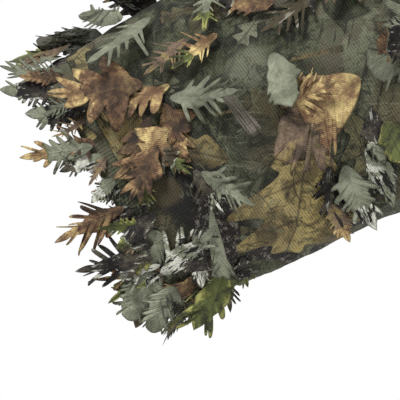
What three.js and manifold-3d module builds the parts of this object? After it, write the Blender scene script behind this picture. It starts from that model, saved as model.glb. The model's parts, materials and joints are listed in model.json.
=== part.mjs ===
// A leafy ghillie suit in its worn shape: a hooded jacket with a front zip, and trousers.
// Millimetres, +Z up. The origin is the centre of the neck opening at the collar seam,
// -Y is the wearer's front and -X the wearer's right.
import * as THREE from "three";
import Module from "manifold-3d";
import { mergeVertices } from "three/addons/utils/BufferGeometryUtils.js";

// Cloth
const cloth = 2; // base mesh with the leaves sewn to it, as one wall
const seamGap = 0.3; // running clearance between pieces that meet at a seam
const roundness = 2.5; // exponent of the body's superellipse outline

// Jacket
const neck = { half: 92, front: 85, back: 74 };
const shoulder = { half: 240, drop: 46 };
const chest = { half: 262, back: 112, drop: 110 };
const frontSlope = 0.0855; // how far the front leans out for each millimetre down
const jacketLength = 720;
const hem = { half: 262, back: 118, band: 20 };
const collar = { height: 40, taper: 4 };

// Hood
const hood = { half: 126, front: 104, back: 138, height: 300, gusset: 36 };
const faceOpening = { plane: 62, sill: 16, brow: 30, side: 30, binding: 9 };
const hoodStrip = 44; // half width of the hood's centre panel

// Sleeves: "along" runs from the shoulder pivot to the cuff
const sleeve = {
  pivotSide: 240,
  pivotDrop: 200,
  fall: 27.4, // degrees below level
  length: 580,
  tall: 131, // half height at the shoulder
  tallCuff: 100,
  deep: 84, // half depth at the shoulder
  deepCuff: 46,
  headEnd: 190,
  elbowStart: 300,
  elbowEnd: 380,
  cuffBand: 15,
};

// Trousers
const waist = { half: 198, front: 112, back: 104, drop: 500, band: 32 };
const hips = { drop: 790, front: 150, back: 138, ease: 9 }; // ease: room left inside the jacket
const leg = {
  side: 131, // leg axis from the middle, at the crotch
  sideCuff: 168,
  hipEnd: 965,
  kneeStart: 1060,
  kneeEnd: 1160,
  cuffDrop: 1430,
  cuffBand: 15,
  half: 122,
  halfCuff: 104,
  deep: 128,
  deepCuff: 72,
};

// Zip
const zip = {
  slot: 15, // width left open between the front panels
  tape: 11, // width of each tape
  tapeThick: 0.8,
  rail: 2, // width of each row of teeth
  railGap: 2.4, // between the rows, where the slider's post runs
  teethThick: 2.4,
  bottom: jacketLength - 8,
  top: 36,
};
const slider = { length: 12, width: 11, plate: 1.2, play: 0.4, post: 1.8, rest: 26 };
const pull = { width: 8, length: 32, thick: 1, ring: 7, bar: 1.1 };
const bridge = { width: 2.6, span: 8, rise: 2.7, thick: 1 };

const hangerLoop = { width: 64, sag: 16, strap: 8, thick: 1.2 };

// Leaves sewn to the right sleeve near its cuff, as flaps of their own. along is from the
// cuff's edge to the stitches and around is the angle on the section, up from the front.
// heading turns the tip down from straight out of the cuff.
const leafThick = 1;
const cuffLeaves = [
  { name: "cuff_leaf_top", along: 6, around: 46, heading: -22, length: 42, width: 26, tint: "sage" },
  { name: "cuff_leaf_golden", along: 5, around: 17, heading: -15, length: 44, width: 26, tint: "tan" },
  { name: "cuff_leaf_rust", along: 5, around: -9, heading: -8, length: 46, width: 26, tint: "rust" },
  { name: "cuff_leaf_charcoal", along: 6, around: -32, heading: -22, length: 48, width: 26, tint: "bark" },
  { name: "cuff_leaf_fan", along: 10, around: -50, heading: 28, length: 40, width: 32, tint: "sage" },
  { name: "sleeve_leaf_moss", along: 44, around: -56, heading: 40, length: 38, width: 26, tint: "moss" },
  { name: "sleeve_leaf_gold", along: 54, around: 30, heading: -7, length: 58, width: 36, tint: "tan" },
  { name: "sleeve_leaf_brown", along: 44, around: 6, heading: 40, length: 38, width: 24, tint: "rust" },
  { name: "sleeve_leaf_sage", along: 66, around: 19, heading: 148, length: 44, width: 28, tint: "sage" },
  { name: "sleeve_leaf_grey", along: 62, around: -10, heading: 120, length: 36, width: 26, tint: "sage" },
  { name: "sleeve_leaf_broad", along: 184, around: -6, heading: 13, length: 80, width: 50, tint: "tan" },
  { name: "sleeve_leaf_snow", along: 150, around: -33, heading: 84, length: 46, width: 30, tint: "bark" },
];
const leafLift = 12; // degrees a leaf's tip stands off the cloth
const leafGap = 0.4; // from the cloth at the stitches

const wasm = await Module();
wasm.setup();

// Any closed geometry, moved by a matrix, as a manifold solid.
function solid(geometry, matrix = new THREE.Matrix4()) {
  const source = geometry.index ? geometry.toNonIndexed() : geometry;
  const bare = new THREE.BufferGeometry();
  bare.setAttribute("position", source.getAttribute("position").clone());
  bare.applyMatrix4(matrix);
  const merged = mergeVertices(bare, 1e-3);
  const mesh = new wasm.Mesh({
    numProp: 3,
    vertProperties: merged.attributes.position.array,
    triVerts: new Uint32Array(merged.index.array),
  });
  return new wasm.Manifold(mesh);
}

function geometryOf(manifold) {
  const mesh = manifold.getMesh();
  const positions = new Float32Array(mesh.numVert * 3);
  for (let i = 0; i < mesh.numVert; i++) {
    const start = i * mesh.numProp;
    positions.set(mesh.vertProperties.subarray(start, start + 3), i * 3);
  }
  const geometry = new THREE.BufferGeometry();
  geometry.setAttribute("position", new THREE.BufferAttribute(positions, 3));
  geometry.setIndex(new THREE.BufferAttribute(mesh.triVerts, 1));
  geometry.computeVertexNormals();
  return geometry;
}

const boxSolid = (low, high) =>
  solid(
    new THREE.BoxGeometry(high[0] - low[0], high[1] - low[1], high[2] - low[2]),
    new THREE.Matrix4().makeTranslation(
      (low[0] + high[0]) / 2,
      (low[1] + high[1]) / 2,
      (low[2] + high[2]) / 2,
    ),
  );

// Joins rings of equal point counts into one closed skin. Its ends are capped, or the last
// ring runs back to the first, as a tube's inner and outer walls do.
function skin(rings, capped) {
  const count = rings[0].length;
  const triangles = [];
  const last = rings.length - 1;
  for (let r = 0; r < (capped ? last : rings.length); r++) {
    const here = rings[r];
    const next = rings[(r + 1) % rings.length];
    for (let i = 0; i < count; i++) {
      const j = (i + 1) % count;
      triangles.push(here[i], here[j], next[j]);
      triangles.push(here[i], next[j], next[i]);
    }
  }
  if (capped) {
    const middle = (ring) =>
      ring.reduce((sum, p) => sum.add(p), new THREE.Vector3()).divideScalar(count);
    for (let i = 0; i < count; i++) {
      const j = (i + 1) % count;
      triangles.push(middle(rings[0]), rings[0][j], rings[0][i]);
      triangles.push(middle(rings[last]), rings[last][i], rings[last][j]);
    }
  }
  const geometry = new THREE.BufferGeometry().setFromPoints(triangles);
  const made = solid(geometry);
  if (made.volume() > 0) return made;
  const turned = [];
  for (let i = 0; i < triangles.length; i += 3)
    turned.push(triangles[i], triangles[i + 2], triangles[i + 1]);
  return solid(new THREE.BufferGeometry().setFromPoints(turned));
}

const filled = (rings) => skin(rings, true);
const tube = (outer, inner) => skin([...outer, ...[...inner].reverse()], false);

const mix = (a, b, t) => a + (b - a) * t;
const signedPower = (value, power) => Math.sign(value) * Math.abs(value) ** power;

// A level superellipse with its own front and back depth. The facets at its middle and its
// sides lie flat on those sizes.
function bodyRing({ half, front, back, z }, inset = 0, points = 36) {
  const ring = [];
  const flat = Math.cos(Math.PI / points);
  for (let i = 0; i < points; i++) {
    const turn = ((i + 0.5) / points) * Math.PI * 2;
    const x = (half - inset) * signedPower(Math.sin(turn) / flat, 2 / roundness);
    const depth = Math.cos(turn) > 0 ? front : back;
    const y = -(depth - inset) * signedPower(Math.cos(turn) / flat, 2 / roundness);
    ring.push(new THREE.Vector3(x, y, z));
  }
  return ring;
}

const frontAt = (z) => neck.front - frontSlope * z;
const trunkLevels = [
  { half: hem.half, back: hem.back, z: -jacketLength },
  { half: hem.half, back: hem.back, z: -jacketLength + hem.band + seamGap },
  { half: chest.half + 4, back: chest.back, z: -(jacketLength + chest.drop) / 2 },
  { half: chest.half, back: chest.back, z: -chest.drop - 230 },
  { half: chest.half, back: chest.back - 2, z: -chest.drop },
  { half: chest.half - 7, back: chest.back - 12, z: -shoulder.drop - 16 },
  { half: shoulder.half, back: chest.back - 18, z: -shoulder.drop },
  { half: (neck.half + shoulder.half) / 2, back: neck.back + 10, z: -shoulder.drop / 2 },
  { half: neck.half, back: neck.back, z: 0 },
].map((level) => ({ ...level, front: frontAt(level.z) }));

// The trunk's filled shape. A negative inset swells it. The shoulders are near level, so
// their wall is kept by lowering them as well.
function trunkSolid(inset, overrun) {
  const rings = trunkLevels.map((level) => {
    const lowered = level.z >= -shoulder.drop ? level.z - inset : level.z;
    return bodyRing({ ...level, z: lowered }, inset);
  });
  if (overrun) {
    const bottom = trunkLevels[0];
    const top = trunkLevels[trunkLevels.length - 1];
    rings.unshift(bodyRing({ ...bottom, z: bottom.z - overrun }, inset));
    rings.push(bodyRing({ ...top, z: overrun }, inset));
  }
  return filled(rings);
}

function collarRing(z, inset) {
  const taper = (collar.taper * z) / collar.height;
  const level = { half: neck.half - taper, front: frontAt(z), back: neck.back - taper, z };
  return bodyRing(level, inset, 32);
}

// How deep a ring is at a distance x from the middle, at the back (way 1) or the front (-1).
function depthAt(ring, x, way) {
  for (let i = 0; i < ring.length; i++) {
    const here = ring[i];
    const next = ring[(i + 1) % ring.length];
    const share = (x - here.x) / (next.x - here.x);
    const depth = way * mix(here.y, next.y, share);
    if (share >= 0 && share <= 1 && depth > 0) return depth;
  }
}

// Sleeve sections. side is -1 for the wearer's right and 1 for the left.
const fall = THREE.MathUtils.degToRad(sleeve.fall);
const sleeveAxis = (side) => new THREE.Vector3(side * Math.cos(fall), 0, -Math.sin(fall));
const sleeveUp = (side) => new THREE.Vector3(side * Math.sin(fall), 0, Math.cos(fall));
const sleevePivot = (side) => new THREE.Vector3(side * sleeve.pivotSide, 0, -sleeve.pivotDrop);
const sleeveTall = (along) => mix(sleeve.tall, sleeve.tallCuff, along / sleeve.length);
const sleeveDeep = (along) => mix(sleeve.deep, sleeve.deepCuff, along / sleeve.length);

function sleeveRing(side, along, inset = 0, points = 24) {
  const centre = sleevePivot(side).addScaledVector(sleeveAxis(side), along);
  const tall = sleeveTall(along) - inset;
  const deep = sleeveDeep(along) - inset;
  const ring = [];
  for (let i = 0; i < points; i++) {
    const turn = (i / points) * Math.PI * 2;
    const point = centre.clone().addScaledVector(sleeveUp(side), tall * Math.cos(turn));
    point.y += deep * Math.sin(turn);
    ring.push(point);
  }
  return ring;
}

const sleeveTube = (side, from, to, thick = cloth) =>
  tube(
    [sleeveRing(side, from), sleeveRing(side, to)],
    [sleeveRing(side, from, thick), sleeveRing(side, to, thick)],
  );

// Materials
const finish = (colour, roughness = 0.9, metalness = 0) =>
  new THREE.MeshStandardMaterial({ color: colour, roughness, metalness });
const materials = {
  cloth: finish(0x4a4d3c),
  sage: finish(0x8d957f),
  rust: finish(0x8a5c3a),
  tan: finish(0x9a8052),
  moss: finish(0x66702f),
  bark: finish(0x3f3a34),
  binding: finish(0x33352a),
  teeth: finish(0x2c2d27, 0.5),
  slider: finish(0x34352f, 0.4, 0.8),
};

const suit = new THREE.Group();
function add(name, shape, material, parent = suit) {
  const geometry = shape.isBufferGeometry ? shape : geometryOf(shape);
  const mesh = new THREE.Mesh(geometry, material);
  mesh.name = name;
  parent.add(mesh);
  return mesh;
}

const sides = [
  { word: "right", side: -1 },
  { word: "left", side: 1 },
];
const far = 1000;

function addTrunk() {
  const outer = trunkSolid(0, 0);
  let shell = outer.subtract(trunkSolid(cloth, 5));
  for (const { side } of sides) {
    const armhole = [-20, sleeve.headEnd].map((along) => sleeveRing(side, along, cloth));
    shell = shell.subtract(filled(armhole));
  }
  const seam = seamGap / 2;
  const bandTop = -jacketLength + hem.band;
  const slot = zip.slot / 2;
  const back = boxSolid([-far, seam, bandTop + seamGap], [far, far, far]);
  add("jacket_back", shell.intersect(back), materials.cloth);
  for (const { word, side } of sides) {
    const inner = side * slot;
    const low = [Math.min(inner, side * far), -far, bandTop + seamGap];
    const high = [Math.max(inner, side * far), -seam, far];
    add(`jacket_front_${word}`, shell.intersect(boxSolid(low, high)), materials.cloth);
  }
  const slotBox = boxSolid([-slot, -far, -far], [slot, 0, far]);
  const bandBox = boxSolid([-far, -far, -far], [far, far, bandTop]);
  add("hem_band", shell.intersect(bandBox).subtract(slotBox), materials.binding);

  const collarRings = (inset) => [seamGap, collar.height].map((z) => collarRing(z, inset));
  const band = tube(collarRings(0), collarRings(cloth)).subtract(slotBox);
  add("collar_band", band, materials.cloth);
}

function addHangerLoop() {
  const half = hangerLoop.width / 2;
  const sag = new THREE.Vector3(0, 0, -hangerLoop.sag);
  const path = new THREE.QuadraticBezierCurve3(
    new THREE.Vector3(-half, 0, 0),
    sag.clone().multiplyScalar(2),
    new THREE.Vector3(half, 0, 0),
  );
  const strap = new THREE.Shape();
  strap.moveTo(-hangerLoop.thick / 2, -hangerLoop.strap / 2);
  strap.lineTo(hangerLoop.thick / 2, -hangerLoop.strap / 2);
  strap.lineTo(hangerLoop.thick / 2, hangerLoop.strap / 2);
  strap.lineTo(-hangerLoop.thick / 2, hangerLoop.strap / 2);
  const settings = { steps: 12, extrudePath: path, bevelEnabled: false };
  const loop = solid(new THREE.ExtrudeGeometry(strap, settings));
  const corner = new THREE.Vector2(2 * hangerLoop.sag, half).setLength(hangerLoop.strap / 2);
  const sewn = collarRing(collar.height / 2 + corner.y, cloth);
  const reach = depthAt(sewn, half + corner.x, 1);
  const hung = loop.translate(0, reach - seamGap - hangerLoop.thick / 2, collar.height / 2);
  add("hanger_loop", hung, materials.binding);
}

// The hood: a domed shell cut in three panels, joined to the collar by a soft gusset.
function addHood() {
  const base = collar.height + seamGap;
  const start = base + hood.gusset;
  const crown = base + hood.height;
  const browHeight = crown - faceOpening.brow;
  const levels = [
    { half: neck.half - collar.taper, front: frontAt(base), back: neck.back - collar.taper, z: base },
    { half: hood.half - 16, front: hood.front - 12, back: hood.back - 32, z: start },
    { half: hood.half, front: hood.front, back: hood.back, z: mix(start, crown, 0.45) },
    { half: hood.half - 10, front: hood.front - 4, back: hood.back - 8, z: mix(start, crown, 0.72) },
    { half: hood.half - 48, front: hood.front - 34, back: hood.back - 44, z: mix(start, crown, 0.93) },
    { half: 26, front: 18, back: 34, z: crown },
  ];
  const rings = (inset) => levels.map((level) => bodyRing(level, inset, 32));
  const gussetTop = (inset) => rings(inset).slice(0, 2);
  add("hood_neck_gusset", tube(gussetTop(0), gussetTop(cloth)), materials.cloth);

  const outer = rings(0).slice(1);
  const inner = rings(cloth).slice(1);
  inner.forEach((ring, i) => {
    const drop = i > 2 ? cloth : 0;
    ring.forEach((p) => (p.z -= drop));
  });
  const below = inner[0].map((p) => new THREE.Vector3(p.x, p.y, p.z - 5));
  const shell = filled(outer).subtract(filled([below, ...inner]));
  const face = (grown) =>
    boxSolid(
      [-hood.half + faceOpening.side - grown, -far, start + faceOpening.sill - grown],
      [hood.half - faceOpening.side + grown, grown - faceOpening.plane, browHeight + grown],
    );
  const lifted = boxSolid([-far, -far, start + seamGap], [far, far, far]);
  const rim = face(faceOpening.binding).subtract(face(0));
  add("hood_edge_binding", shell.intersect(rim), materials.binding);
  const open = shell.subtract(face(faceOpening.binding + seamGap)).intersect(lifted);
  const strip = boxSolid([-hoodStrip, -far, -far], [hoodStrip, far, far]);
  const chin = boxSolid([-far, -far, -far], [far, 0, browHeight]);
  add("hood_centre_panel", open.intersect(strip.subtract(chin)), materials.cloth);
  const rest = open.subtract(
    boxSolid([-hoodStrip - seamGap, 0, -far], [hoodStrip + seamGap, far, far]).add(
      boxSolid(
        [-hoodStrip - seamGap, -far, browHeight - seamGap],
        [hoodStrip + seamGap, 1, far],
      ),
    ),
  );
  for (const { word, side } of sides) {
    const edge = (side * seamGap) / 2;
    const low = [Math.min(edge, side * far), -far, -far];
    const high = [Math.max(edge, side * far), far, far];
    add(`hood_${word}_panel`, rest.intersect(boxSolid(low, high)), materials.cloth);
  }
}

function addSleeves() {
  const swollen = trunkSolid(-seamGap, 5);
  for (const { word, side } of sides) {
    const head = [-60, sleeve.headEnd - seamGap];
    const wall = tube(
      head.map((along) => sleeveRing(side, along)),
      head.map((along) => sleeveRing(side, along, cloth)),
    );
    const pieces = wall.subtract(swollen).decompose();
    const biggest = pieces.reduce((a, b) => (a.volume() > b.volume() ? a : b));
    add(`${word}_sleeve_head`, biggest, materials.cloth);
    const cuff = sleeve.length - sleeve.cuffBand;
    const stretch = (name, from, to) =>
      add(`${word}_${name}`, sleeveTube(side, from, to), materials.cloth);
    stretch("upper_sleeve", sleeve.headEnd, sleeve.elbowStart - seamGap);
    stretch("elbow", sleeve.elbowStart, sleeve.elbowEnd - seamGap);
    stretch("forearm_sleeve", sleeve.elbowEnd, cuff - seamGap);
    add(`${word}_cuff_band`, sleeveTube(side, cuff, sleeve.length, 1.6 * cloth), materials.binding);
  }
}

// Legs. half a level's outline is closed along the middle, so that two legs share a seat.
const underJacket = cloth + hips.ease;
const hipHalf = () => hem.half - underJacket;
const crotch = -hips.drop;
const legShare = (z) => (crotch - z) / (leg.cuffDrop - hips.drop);
const legSide = (z) => mix(leg.side, leg.sideCuff, legShare(z));

function legRing(side, z, inset = 0, points = 24) {
  const half = mix(leg.half, leg.halfCuff, legShare(z)) - inset;
  const deep = mix(leg.deep, leg.deepCuff, legShare(z)) - inset;
  const ring = [];
  for (let i = 0; i < points; i++) {
    const turn = (i / points) * Math.PI * 2;
    const x = side * legSide(z) + half * Math.cos(turn);
    ring.push(new THREE.Vector3(x, deep * Math.sin(turn), z));
  }
  return ring;
}

// Half of the hips' outline as a ring round the leg's axis.
function crotchRing(side, z, inset = 0, points = 24) {
  const axis = side * leg.side;
  const half = hipHalf() - inset;
  const centreLine = seamGap + inset;
  const ring = [];
  for (let i = 0; i < points; i++) {
    const turn = (i / points) * Math.PI * 2;
    const way = new THREE.Vector2(Math.cos(turn), Math.sin(turn));
    const depth = (way.y < 0 ? hips.front : hips.back) - inset;
    const inside = (r) => {
      const x = axis + r * way.x;
      const y = r * way.y;
      const within = Math.abs(x / half) ** roundness + Math.abs(y / depth) ** roundness < 1;
      return within && x * side > centreLine;
    };
    let near = 0;
    let beyond = 2 * hipHalf();
    for (let step = 0; step < 30; step++) {
      const middle = (near + beyond) / 2;
      if (inside(middle)) near = middle;
      else beyond = middle;
    }
    ring.push(new THREE.Vector3(axis + near * way.x, near * way.y, z));
  }
  return ring;
}

function addTrousers() {
  const waistTop = -waist.drop;
  const bandBottom = waistTop - waist.band;
  const hidden = [-jacketLength + hem.band, -jacketLength - hem.band].map((z) => ({
    half: hipHalf(),
    front: frontAt(Math.max(z, -jacketLength)) - underJacket,
    back: hem.back - underJacket,
    z,
  }));
  const levels = [
    { ...waist, z: bandBottom - seamGap },
    ...hidden,
    { half: hipHalf(), front: hips.front, back: hips.back, z: crotch + seamGap },
  ];
  const wall = (inset) => levels.map((level) => bodyRing(level, inset));
  const seat = tube(wall(0), wall(cloth));
  const seam = seamGap / 2;
  add("trouser_front", seat.intersect(boxSolid([-far, -far, -2 * far], [far, -seam, 0])), materials.cloth);
  add("trouser_seat", seat.intersect(boxSolid([-far, seam, -2 * far], [far, far, 0])), materials.cloth);
  const band = (inset) => [bandBottom, waistTop].map((z) => bodyRing({ ...waist, z }, inset));
  add("waistband", tube(band(0), band(1.5 * cloth)), materials.binding);

  for (const { word, side } of sides) {
    const hipRings = (inset) => [
      crotchRing(side, crotch, inset),
      legRing(side, mix(crotch, -leg.hipEnd, 0.5), inset),
      legRing(side, -leg.hipEnd + seamGap, inset),
    ];
    add(`${word}_hip`, tube(hipRings(0), hipRings(cloth)), materials.cloth);
    const stretch = (name, from, to, thick, material) => {
      const rings = (inset) => [from, to].map((drop) => legRing(side, -drop, inset));
      add(`${word}_${name}`, tube(rings(0), rings(thick)), material);
    };
    const cuff = leg.cuffDrop - leg.cuffBand;
    stretch("thigh", leg.hipEnd, leg.kneeStart - seamGap, cloth, materials.cloth);
    stretch("knee", leg.kneeStart, leg.kneeEnd - seamGap, cloth, materials.cloth);
    stretch("shin", leg.kneeEnd, cuff - seamGap, cloth, materials.cloth);
    stretch("leg_cuff", cuff, leg.cuffDrop, 1.6 * cloth, materials.binding);
  }
}

// The zip lies in the plane of the leaning front. Its group's -Y looks out of that plane and
// its Z runs up the zip from the collar seam.
function addZip() {
  const lean = new THREE.Group();
  lean.position.set(0, -neck.front, 0);
  lean.rotation.x = -Math.atan(frontSlope);
  suit.add(lean);
  const plain = (name, low, high, material) => add(name, boxSolid(low, high), material, lean);

  const railIn = zip.railGap / 2;
  const railOut = railIn + zip.rail;
  const tapeEdge = railOut + seamGap + zip.tape;
  const neckRing = bodyRing({ ...neck, z: 0 }, cloth);
  const wall = Math.max(
    neck.front - depthAt(neckRing, tapeEdge, -1),
    frontAt(collar.height) - depthAt(collarRing(collar.height, cloth), tapeEdge, -1),
  );
  const mid = wall + seamGap + zip.tapeThick / 2;
  const teeth = zip.teethThick / 2;
  const boxHeight = 10;
  const stopHeight = 2;
  const chainLow = -zip.bottom + boxHeight + seamGap;
  const chainHigh = zip.top - stopHeight - seamGap;
  for (const { word, side } of sides) {
    const span = (a, b) => [Math.min(side * a, side * b), Math.max(side * a, side * b)];
    const [railLow, railHigh] = span(railIn, railOut);
    const [tapeLow, tapeHigh] = span(railOut + seamGap, tapeEdge);
    plain(
      `zip_teeth_${word}`,
      [railLow, mid - teeth, chainLow],
      [railHigh, mid + teeth, chainHigh],
      materials.teeth,
    );
    plain(
      `zip_tape_${word}`,
      [tapeLow, mid - zip.tapeThick / 2, -zip.bottom],
      [tapeHigh, mid + zip.tapeThick / 2, zip.top],
      materials.binding,
    );
    plain(
      `zip_top_stop_${word}`,
      [railLow, mid - teeth, zip.top - stopHeight],
      [railHigh, mid + teeth, zip.top],
      materials.slider,
    );
  }
  plain(
    "zip_bottom_box",
    [-railOut, mid - teeth, -zip.bottom],
    [railOut, mid + teeth, -zip.bottom + boxHeight],
    materials.slider,
  );

  // Slider: two plates joined by a post between the rows of teeth, with a bridge for the pull.
  const clear = teeth + slider.play;
  const halfWidth = slider.width / 2;
  const halfLength = slider.length / 2;
  const front = mid - clear - slider.plate;
  const plate = (low) =>
    boxSolid(
      [-halfWidth, low, slider.rest - halfLength],
      [halfWidth, low + slider.plate, slider.rest + halfLength],
    );
  const post = boxSolid(
    [-slider.post / 2, front, slider.rest],
    [slider.post / 2, mid + clear + slider.plate, slider.rest + halfLength],
  );
  const bridgeOuter = boxSolid(
    [-bridge.width / 2, front - bridge.rise, slider.rest - bridge.span / 2],
    [bridge.width / 2, front + seamGap, slider.rest + bridge.span / 2],
  );
  const bridgeHole = boxSolid(
    [-bridge.width, front - bridge.rise + bridge.thick, slider.rest - bridge.span / 2 + bridge.thick],
    [bridge.width, front - 0.001, slider.rest + bridge.span / 2 - bridge.thick],
  );
  const body = plate(front)
    .add(plate(mid + clear))
    .add(post)
    .add(bridgeOuter.subtract(bridgeHole));
  add("zip_slider", body, materials.slider, lean);

  // Pull: a ring round the bridge and a tab that hangs from it.
  const clearance = (bridge.rise - bridge.thick - pull.thick) / 2;
  const outFace = front - clearance - pull.thick;
  const top = slider.rest + bridge.span / 2 - bridge.thick - seamGap;
  const ringSide = pull.width / 2 - pull.bar;
  const tab = boxSolid(
    [-pull.width / 2, outFace, top - pull.length],
    [pull.width / 2, outFace + pull.thick, top],
  );
  const hole = boxSolid(
    [-ringSide, outFace - 1, top - pull.bar - pull.ring],
    [ringSide, outFace + 2 * pull.thick, top - pull.bar],
  );
  add("zip_pull", tab.subtract(hole), materials.slider, lean);
}

// An oak leaf lying in XY with its stalk at the origin and its tip along +X.
function leafShape(length, width, lobes = 4) {
  const edge = [];
  for (let i = 0; i <= lobes; i++) {
    const at = i / lobes;
    const swell = (width / 2) * Math.sin(Math.PI * (0.16 + 0.74 * at)) ** 0.7;
    const notch = mix(0.1, 0.9, at) * length;
    if (i < lobes) {
      edge.push([notch - 0.02 * length, swell * 0.3]);
      edge.push([notch + 0.1 * length, swell]);
      edge.push([notch + 0.15 * length, swell * 0.94]);
    } else edge.push([0.93 * length, swell * 0.24]);
  }
  const outline = [[0, width * 0.06], ...edge, [length, 0]];
  const mirrored = [...edge.reverse().map(([x, y]) => [x, -y]), [0, -width * 0.06]];
  return new THREE.Shape([...outline, ...mirrored].map(([x, y]) => new THREE.Vector2(x, y)));
}

function addCuffLeaves() {
  const side = -1;
  const axis = sleeveAxis(side);
  for (const leaf of cuffLeaves) {
    const along = sleeve.length - leaf.along;
    const facets = 24;
    const turn = ((leaf.around + 270) / 360) * facets;
    const ring = sleeveRing(side, along, 0, facets);
    const first = ring[Math.floor(turn) % facets];
    const second = ring[(Math.floor(turn) + 1) % facets];
    const base = first.clone().lerp(second, turn % 1);
    const slope = second.clone().sub(first).normalize();
    const normal = slope.clone().cross(axis).normalize();
    if (normal.y > 0) normal.negate();
    const heading = THREE.MathUtils.degToRad(leaf.heading);
    const across = new THREE.Vector3().crossVectors(normal, axis).normalize();
    const way = axis.clone().multiplyScalar(Math.cos(heading));
    way.addScaledVector(across, Math.sin(heading));
    const lift = THREE.MathUtils.degToRad(leafLift);
    const length = way.clone().multiplyScalar(Math.cos(lift)).addScaledVector(normal, Math.sin(lift));
    const width = new THREE.Vector3().crossVectors(normal, length).normalize();
    const out = new THREE.Vector3().crossVectors(length, width);
    const place = new THREE.Matrix4().makeBasis(length, width, out);
    place.setPosition(base.addScaledVector(normal, leafGap));
    const flap = new THREE.ExtrudeGeometry(leafShape(leaf.length, leaf.width), {
      depth: leafThick,
      bevelEnabled: false,
    });
    add(leaf.name, solid(flap), materials[leaf.tint]).applyMatrix4(place);
  }
}

addTrunk();
addHangerLoop();
addHood();
addSleeves();
addZip();
addTrousers();
addCuffLeaves();

export default suit;
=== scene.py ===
import json
import math
import bpy
import numpy as np
from functools import partial
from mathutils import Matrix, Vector


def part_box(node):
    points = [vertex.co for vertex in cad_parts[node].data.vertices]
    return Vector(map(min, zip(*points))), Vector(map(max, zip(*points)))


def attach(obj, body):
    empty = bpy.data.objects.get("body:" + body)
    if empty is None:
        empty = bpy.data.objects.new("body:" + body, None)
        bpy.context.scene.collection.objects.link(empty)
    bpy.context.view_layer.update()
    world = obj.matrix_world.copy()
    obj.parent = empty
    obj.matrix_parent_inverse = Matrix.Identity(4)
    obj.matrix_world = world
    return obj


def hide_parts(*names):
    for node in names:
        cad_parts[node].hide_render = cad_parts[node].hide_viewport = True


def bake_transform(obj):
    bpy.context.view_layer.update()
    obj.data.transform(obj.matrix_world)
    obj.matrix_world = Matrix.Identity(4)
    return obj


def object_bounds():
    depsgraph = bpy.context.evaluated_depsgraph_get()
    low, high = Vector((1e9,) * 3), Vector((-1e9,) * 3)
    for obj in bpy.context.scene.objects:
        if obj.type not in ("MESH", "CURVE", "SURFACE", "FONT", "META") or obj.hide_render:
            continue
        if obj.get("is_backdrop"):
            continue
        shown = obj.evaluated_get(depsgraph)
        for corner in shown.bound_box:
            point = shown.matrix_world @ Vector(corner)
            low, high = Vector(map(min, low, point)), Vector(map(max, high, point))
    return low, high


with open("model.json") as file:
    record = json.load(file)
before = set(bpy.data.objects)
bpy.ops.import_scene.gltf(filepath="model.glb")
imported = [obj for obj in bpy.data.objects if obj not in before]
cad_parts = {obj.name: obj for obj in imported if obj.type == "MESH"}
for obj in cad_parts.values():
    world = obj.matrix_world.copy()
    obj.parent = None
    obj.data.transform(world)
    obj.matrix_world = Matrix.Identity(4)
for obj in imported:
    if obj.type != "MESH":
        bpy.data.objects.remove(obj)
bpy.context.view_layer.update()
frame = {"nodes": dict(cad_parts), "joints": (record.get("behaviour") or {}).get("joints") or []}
print("frame loaded:", len(frame["nodes"]), "nodes")

# metres, +Z up, -Y is the wearer's front and -X the wearer's right
suit = {
    "roundness": 2.5,       # exponent of the body's outline
    "frontSlope": 0.0855,   # the front leans out by this share of the drop
    "neckFront": 0.085,
    "chest": 0.262, "armhole": 0.42, "armholeDrop": 0.3,
    "hemTop": 0.698, "hemLow": 0.72, "hemBack": 0.118,
    "inset": 0.0004,        # the cloth lies this far inside the frame's own skin
}
sleeve = {
    "pivotSide": 0.240, "pivotDrop": 0.200, "fall": 27.4, "length": 0.580,
    "tall": 0.131, "tallCuff": 0.100, "deep": 0.084, "deepCuff": 0.046,
    "elbowStart": 0.300, "elbowEnd": 0.380, "band": 0.015,
}
leg = {
    "crotch": 0.790, "cuff": 1.430, "band": 0.015, "kneeStart": 1.060, "kneeEnd": 1.160, "hipEnd": 0.965,
    "kneeSide": 0.15,
    "side": 0.131, "sideCuff": 0.168, "half": 0.122, "halfCuff": 0.104, "deep": 0.128, "deepCuff": 0.072,
}
sides = {"right": -1, "left": 1}


# ---------- shader maths ----------

class Wire:  # a socket that adds Math nodes when it is used in an expression
    def __init__(self, finish, socket):
        self.finish = finish
        self.socket = socket

    def sum(self, operation, first, second=0.0, third=0.0):
        return self.finish.node("ShaderNodeMath", {"operation": operation}, {0: first, 1: second, 2: third})

    def __add__(self, other): return self.sum("ADD", self, other)
    def __radd__(self, other): return self.sum("ADD", other, self)
    def __sub__(self, other): return self.sum("SUBTRACT", self, other)
    def __rsub__(self, other): return self.sum("SUBTRACT", other, self)
    def __mul__(self, other): return self.sum("MULTIPLY", self, other)
    def __rmul__(self, other): return self.sum("MULTIPLY", other, self)
    def __truediv__(self, other): return self.sum("DIVIDE", self, other)
    def __rtruediv__(self, other): return self.sum("DIVIDE", other, self)
    def __pow__(self, other): return self.sum("POWER", self, other)
    def __gt__(self, other): return self.sum("GREATER_THAN", self, other)
    def __lt__(self, other): return self.sum("LESS_THAN", self, other)
    def __abs__(self): return self.sum("ABSOLUTE", self)
    def sine(self): return self.sum("SINE", self)
    def fract(self): return self.sum("FRACT", self)
    def floor(self): return self.sum("FLOOR", self)
    def least(self, other): return self.sum("MINIMUM", self, other)
    def most(self, other): return self.sum("MAXIMUM", self, other)
    def held(self): return self.least(1.0).most(0.0)   # kept between 0 and 1

    def ramp(self, low, high):  # 0 at low, 1 at high, smooth between
        return self.finish.node("ShaderNodeMapRange", {"interpolation_type": "SMOOTHSTEP"},
                                {"Value": self, "From Min": low, "From Max": high})


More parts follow.
